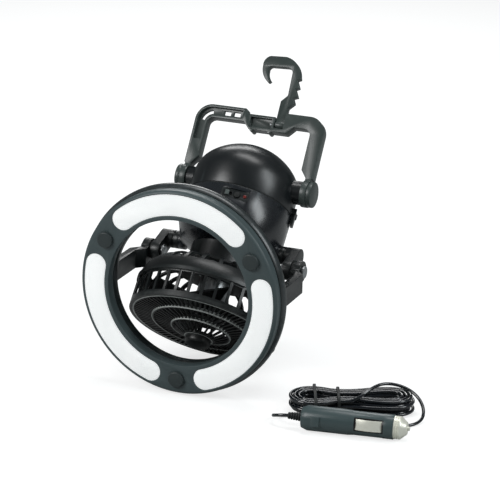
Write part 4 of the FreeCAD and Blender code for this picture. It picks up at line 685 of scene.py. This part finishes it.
def tie_loops():
    """Two flat bands that hug the hank at its waist and near its left end."""
    thickness, width, top, inner_corner = 1.2, 2.6, 15.9, 3.0
    shape = bmesh.new()
    for place, inside in ((-3.4, 14.5), (-23.0, 20.5)):
        inner = rounded_outline(inside, thickness, top - thickness, inner_corner)
        outer = rounded_outline(inside + thickness, 0, top, inner_corner + thickness)
        loops = [[shape.verts.new(Vector((place + side * width / 2, across, height)) * MM)
                  for across, height in outline]
                 for outline, side in ((inner, -1), (inner, 1), (outer, 1), (outer, -1))]
        for first, second in zip(loops, loops[1:] + loops[:1]):
            for index in range(len(first)):
                after = (index + 1) % len(first)
                shape.faces.new((first[index], first[after], second[after], second[index]))
    bmesh.ops.recalc_face_normals(shape, faces=shape.faces)
    round_edges(shape, TIE_SHARP_ANGLE, TIE_EDGE_WIDTH)
    return shape


# Surroundings

# What all lights aim at, and for each its place and its two sizes in metres, its power and its colour
LIGHT_TARGET = Vector((0.03, -0.03, 0.11))
LIGHTS = {
    "key": ((-0.9, -1.2, 1.1), (0.8, 0.8), 16.0, (1.0, 1.0, 1.0)),
    "strip": ((1.35, -0.12, 0.98), (0.5, 0.9), 9.0, (0.93, 0.98, 1.0)),
    "top": ((0.1, 0.3, 1.5), (1.0, 0.35), 7.0, (1.0, 1.0, 1.0)),
    "rear": ((-0.5, 1.2, 0.8), (0.7, 0.4), 4.0, (1.0, 1.0, 1.0)),
}
FLOOR_HALF_SIZE = 8.0


def camera_only(tree, elsewhere, seen):
    """One value for what the camera sees and another for the light that falls on things."""
    path = tree.nodes.new("ShaderNodeLightPath")
    return spread(tree, path.outputs["Is Camera Ray"], (0.0, 1.0), (elsewhere, seen))


def make_surroundings():
    world = bpy.data.worlds.new("studio")
    bpy.context.scene.world = world
    world.use_nodes = True
    tree = world.node_tree
    background = tree.nodes["Background"]
    background.inputs["Color"].default_value = (0.94, 0.98, 1.0, 1.0)
    tree.links.new(camera_only(tree, elsewhere=0.12, seen=1.1), background.inputs["Strength"])
    shape = bmesh.new()
    bmesh.ops.create_grid(shape, x_segments=1, y_segments=1, size=FLOOR_HALF_SIZE)
    material, tree, shader = new_material("floor_white")
    shader.inputs["Base Color"].default_value = (0.45, 0.46, 0.46, 1.0)
    shader.inputs["Roughness"].default_value = 0.9
    shader.inputs["Specular IOR Level"].default_value = 0.0
    shader.inputs["Emission Color"].default_value = (1.0, 1.0, 1.0, 1.0)
    tree.links.new(camera_only(tree, elsewhere=0.0, seen=0.72), shader.inputs["Emission Strength"])
    floor = finish_mesh("floor", shape, material)


def make_lights():
    for name, (place, size, power, colour) in LIGHTS.items():
        data = bpy.data.lights.new(name, "AREA")
        data.shape = "RECTANGLE"
        data.size, data.size_y = size
        data.energy = power
        data.color = colour
        lamp = bpy.data.objects.new(name, data)
        toward = (LIGHT_TARGET - Vector(place)).to_track_quat("-Z", "Y")
        lamp.matrix_world = Matrix.Translation(place) @ toward.to_matrix().to_4x4()
        bpy.context.scene.collection.objects.link(lamp)


bpy.context.scene.view_settings.view_transform = "Standard"
set_camera()
make_surroundings()
make_lights()
lead, lead_exit = make_lead()
for node_name, (finish_name, slot_name, edge_width) in FINISHES.items():
    rounded_copy(node_name, finish_name, edge_width)
relief = add_lead_piece("relief_boot", ribbed_relief(), plug_place(), "relief", "plug_relief")
ties = add_lead_piece("tie_bands", tie_loops(), hank_place(), "rubber", "hank_ties")
nose = add_lead_piece("ridged_nose", ridged_nose(), plug_place(), "nickel", "plug_nose")
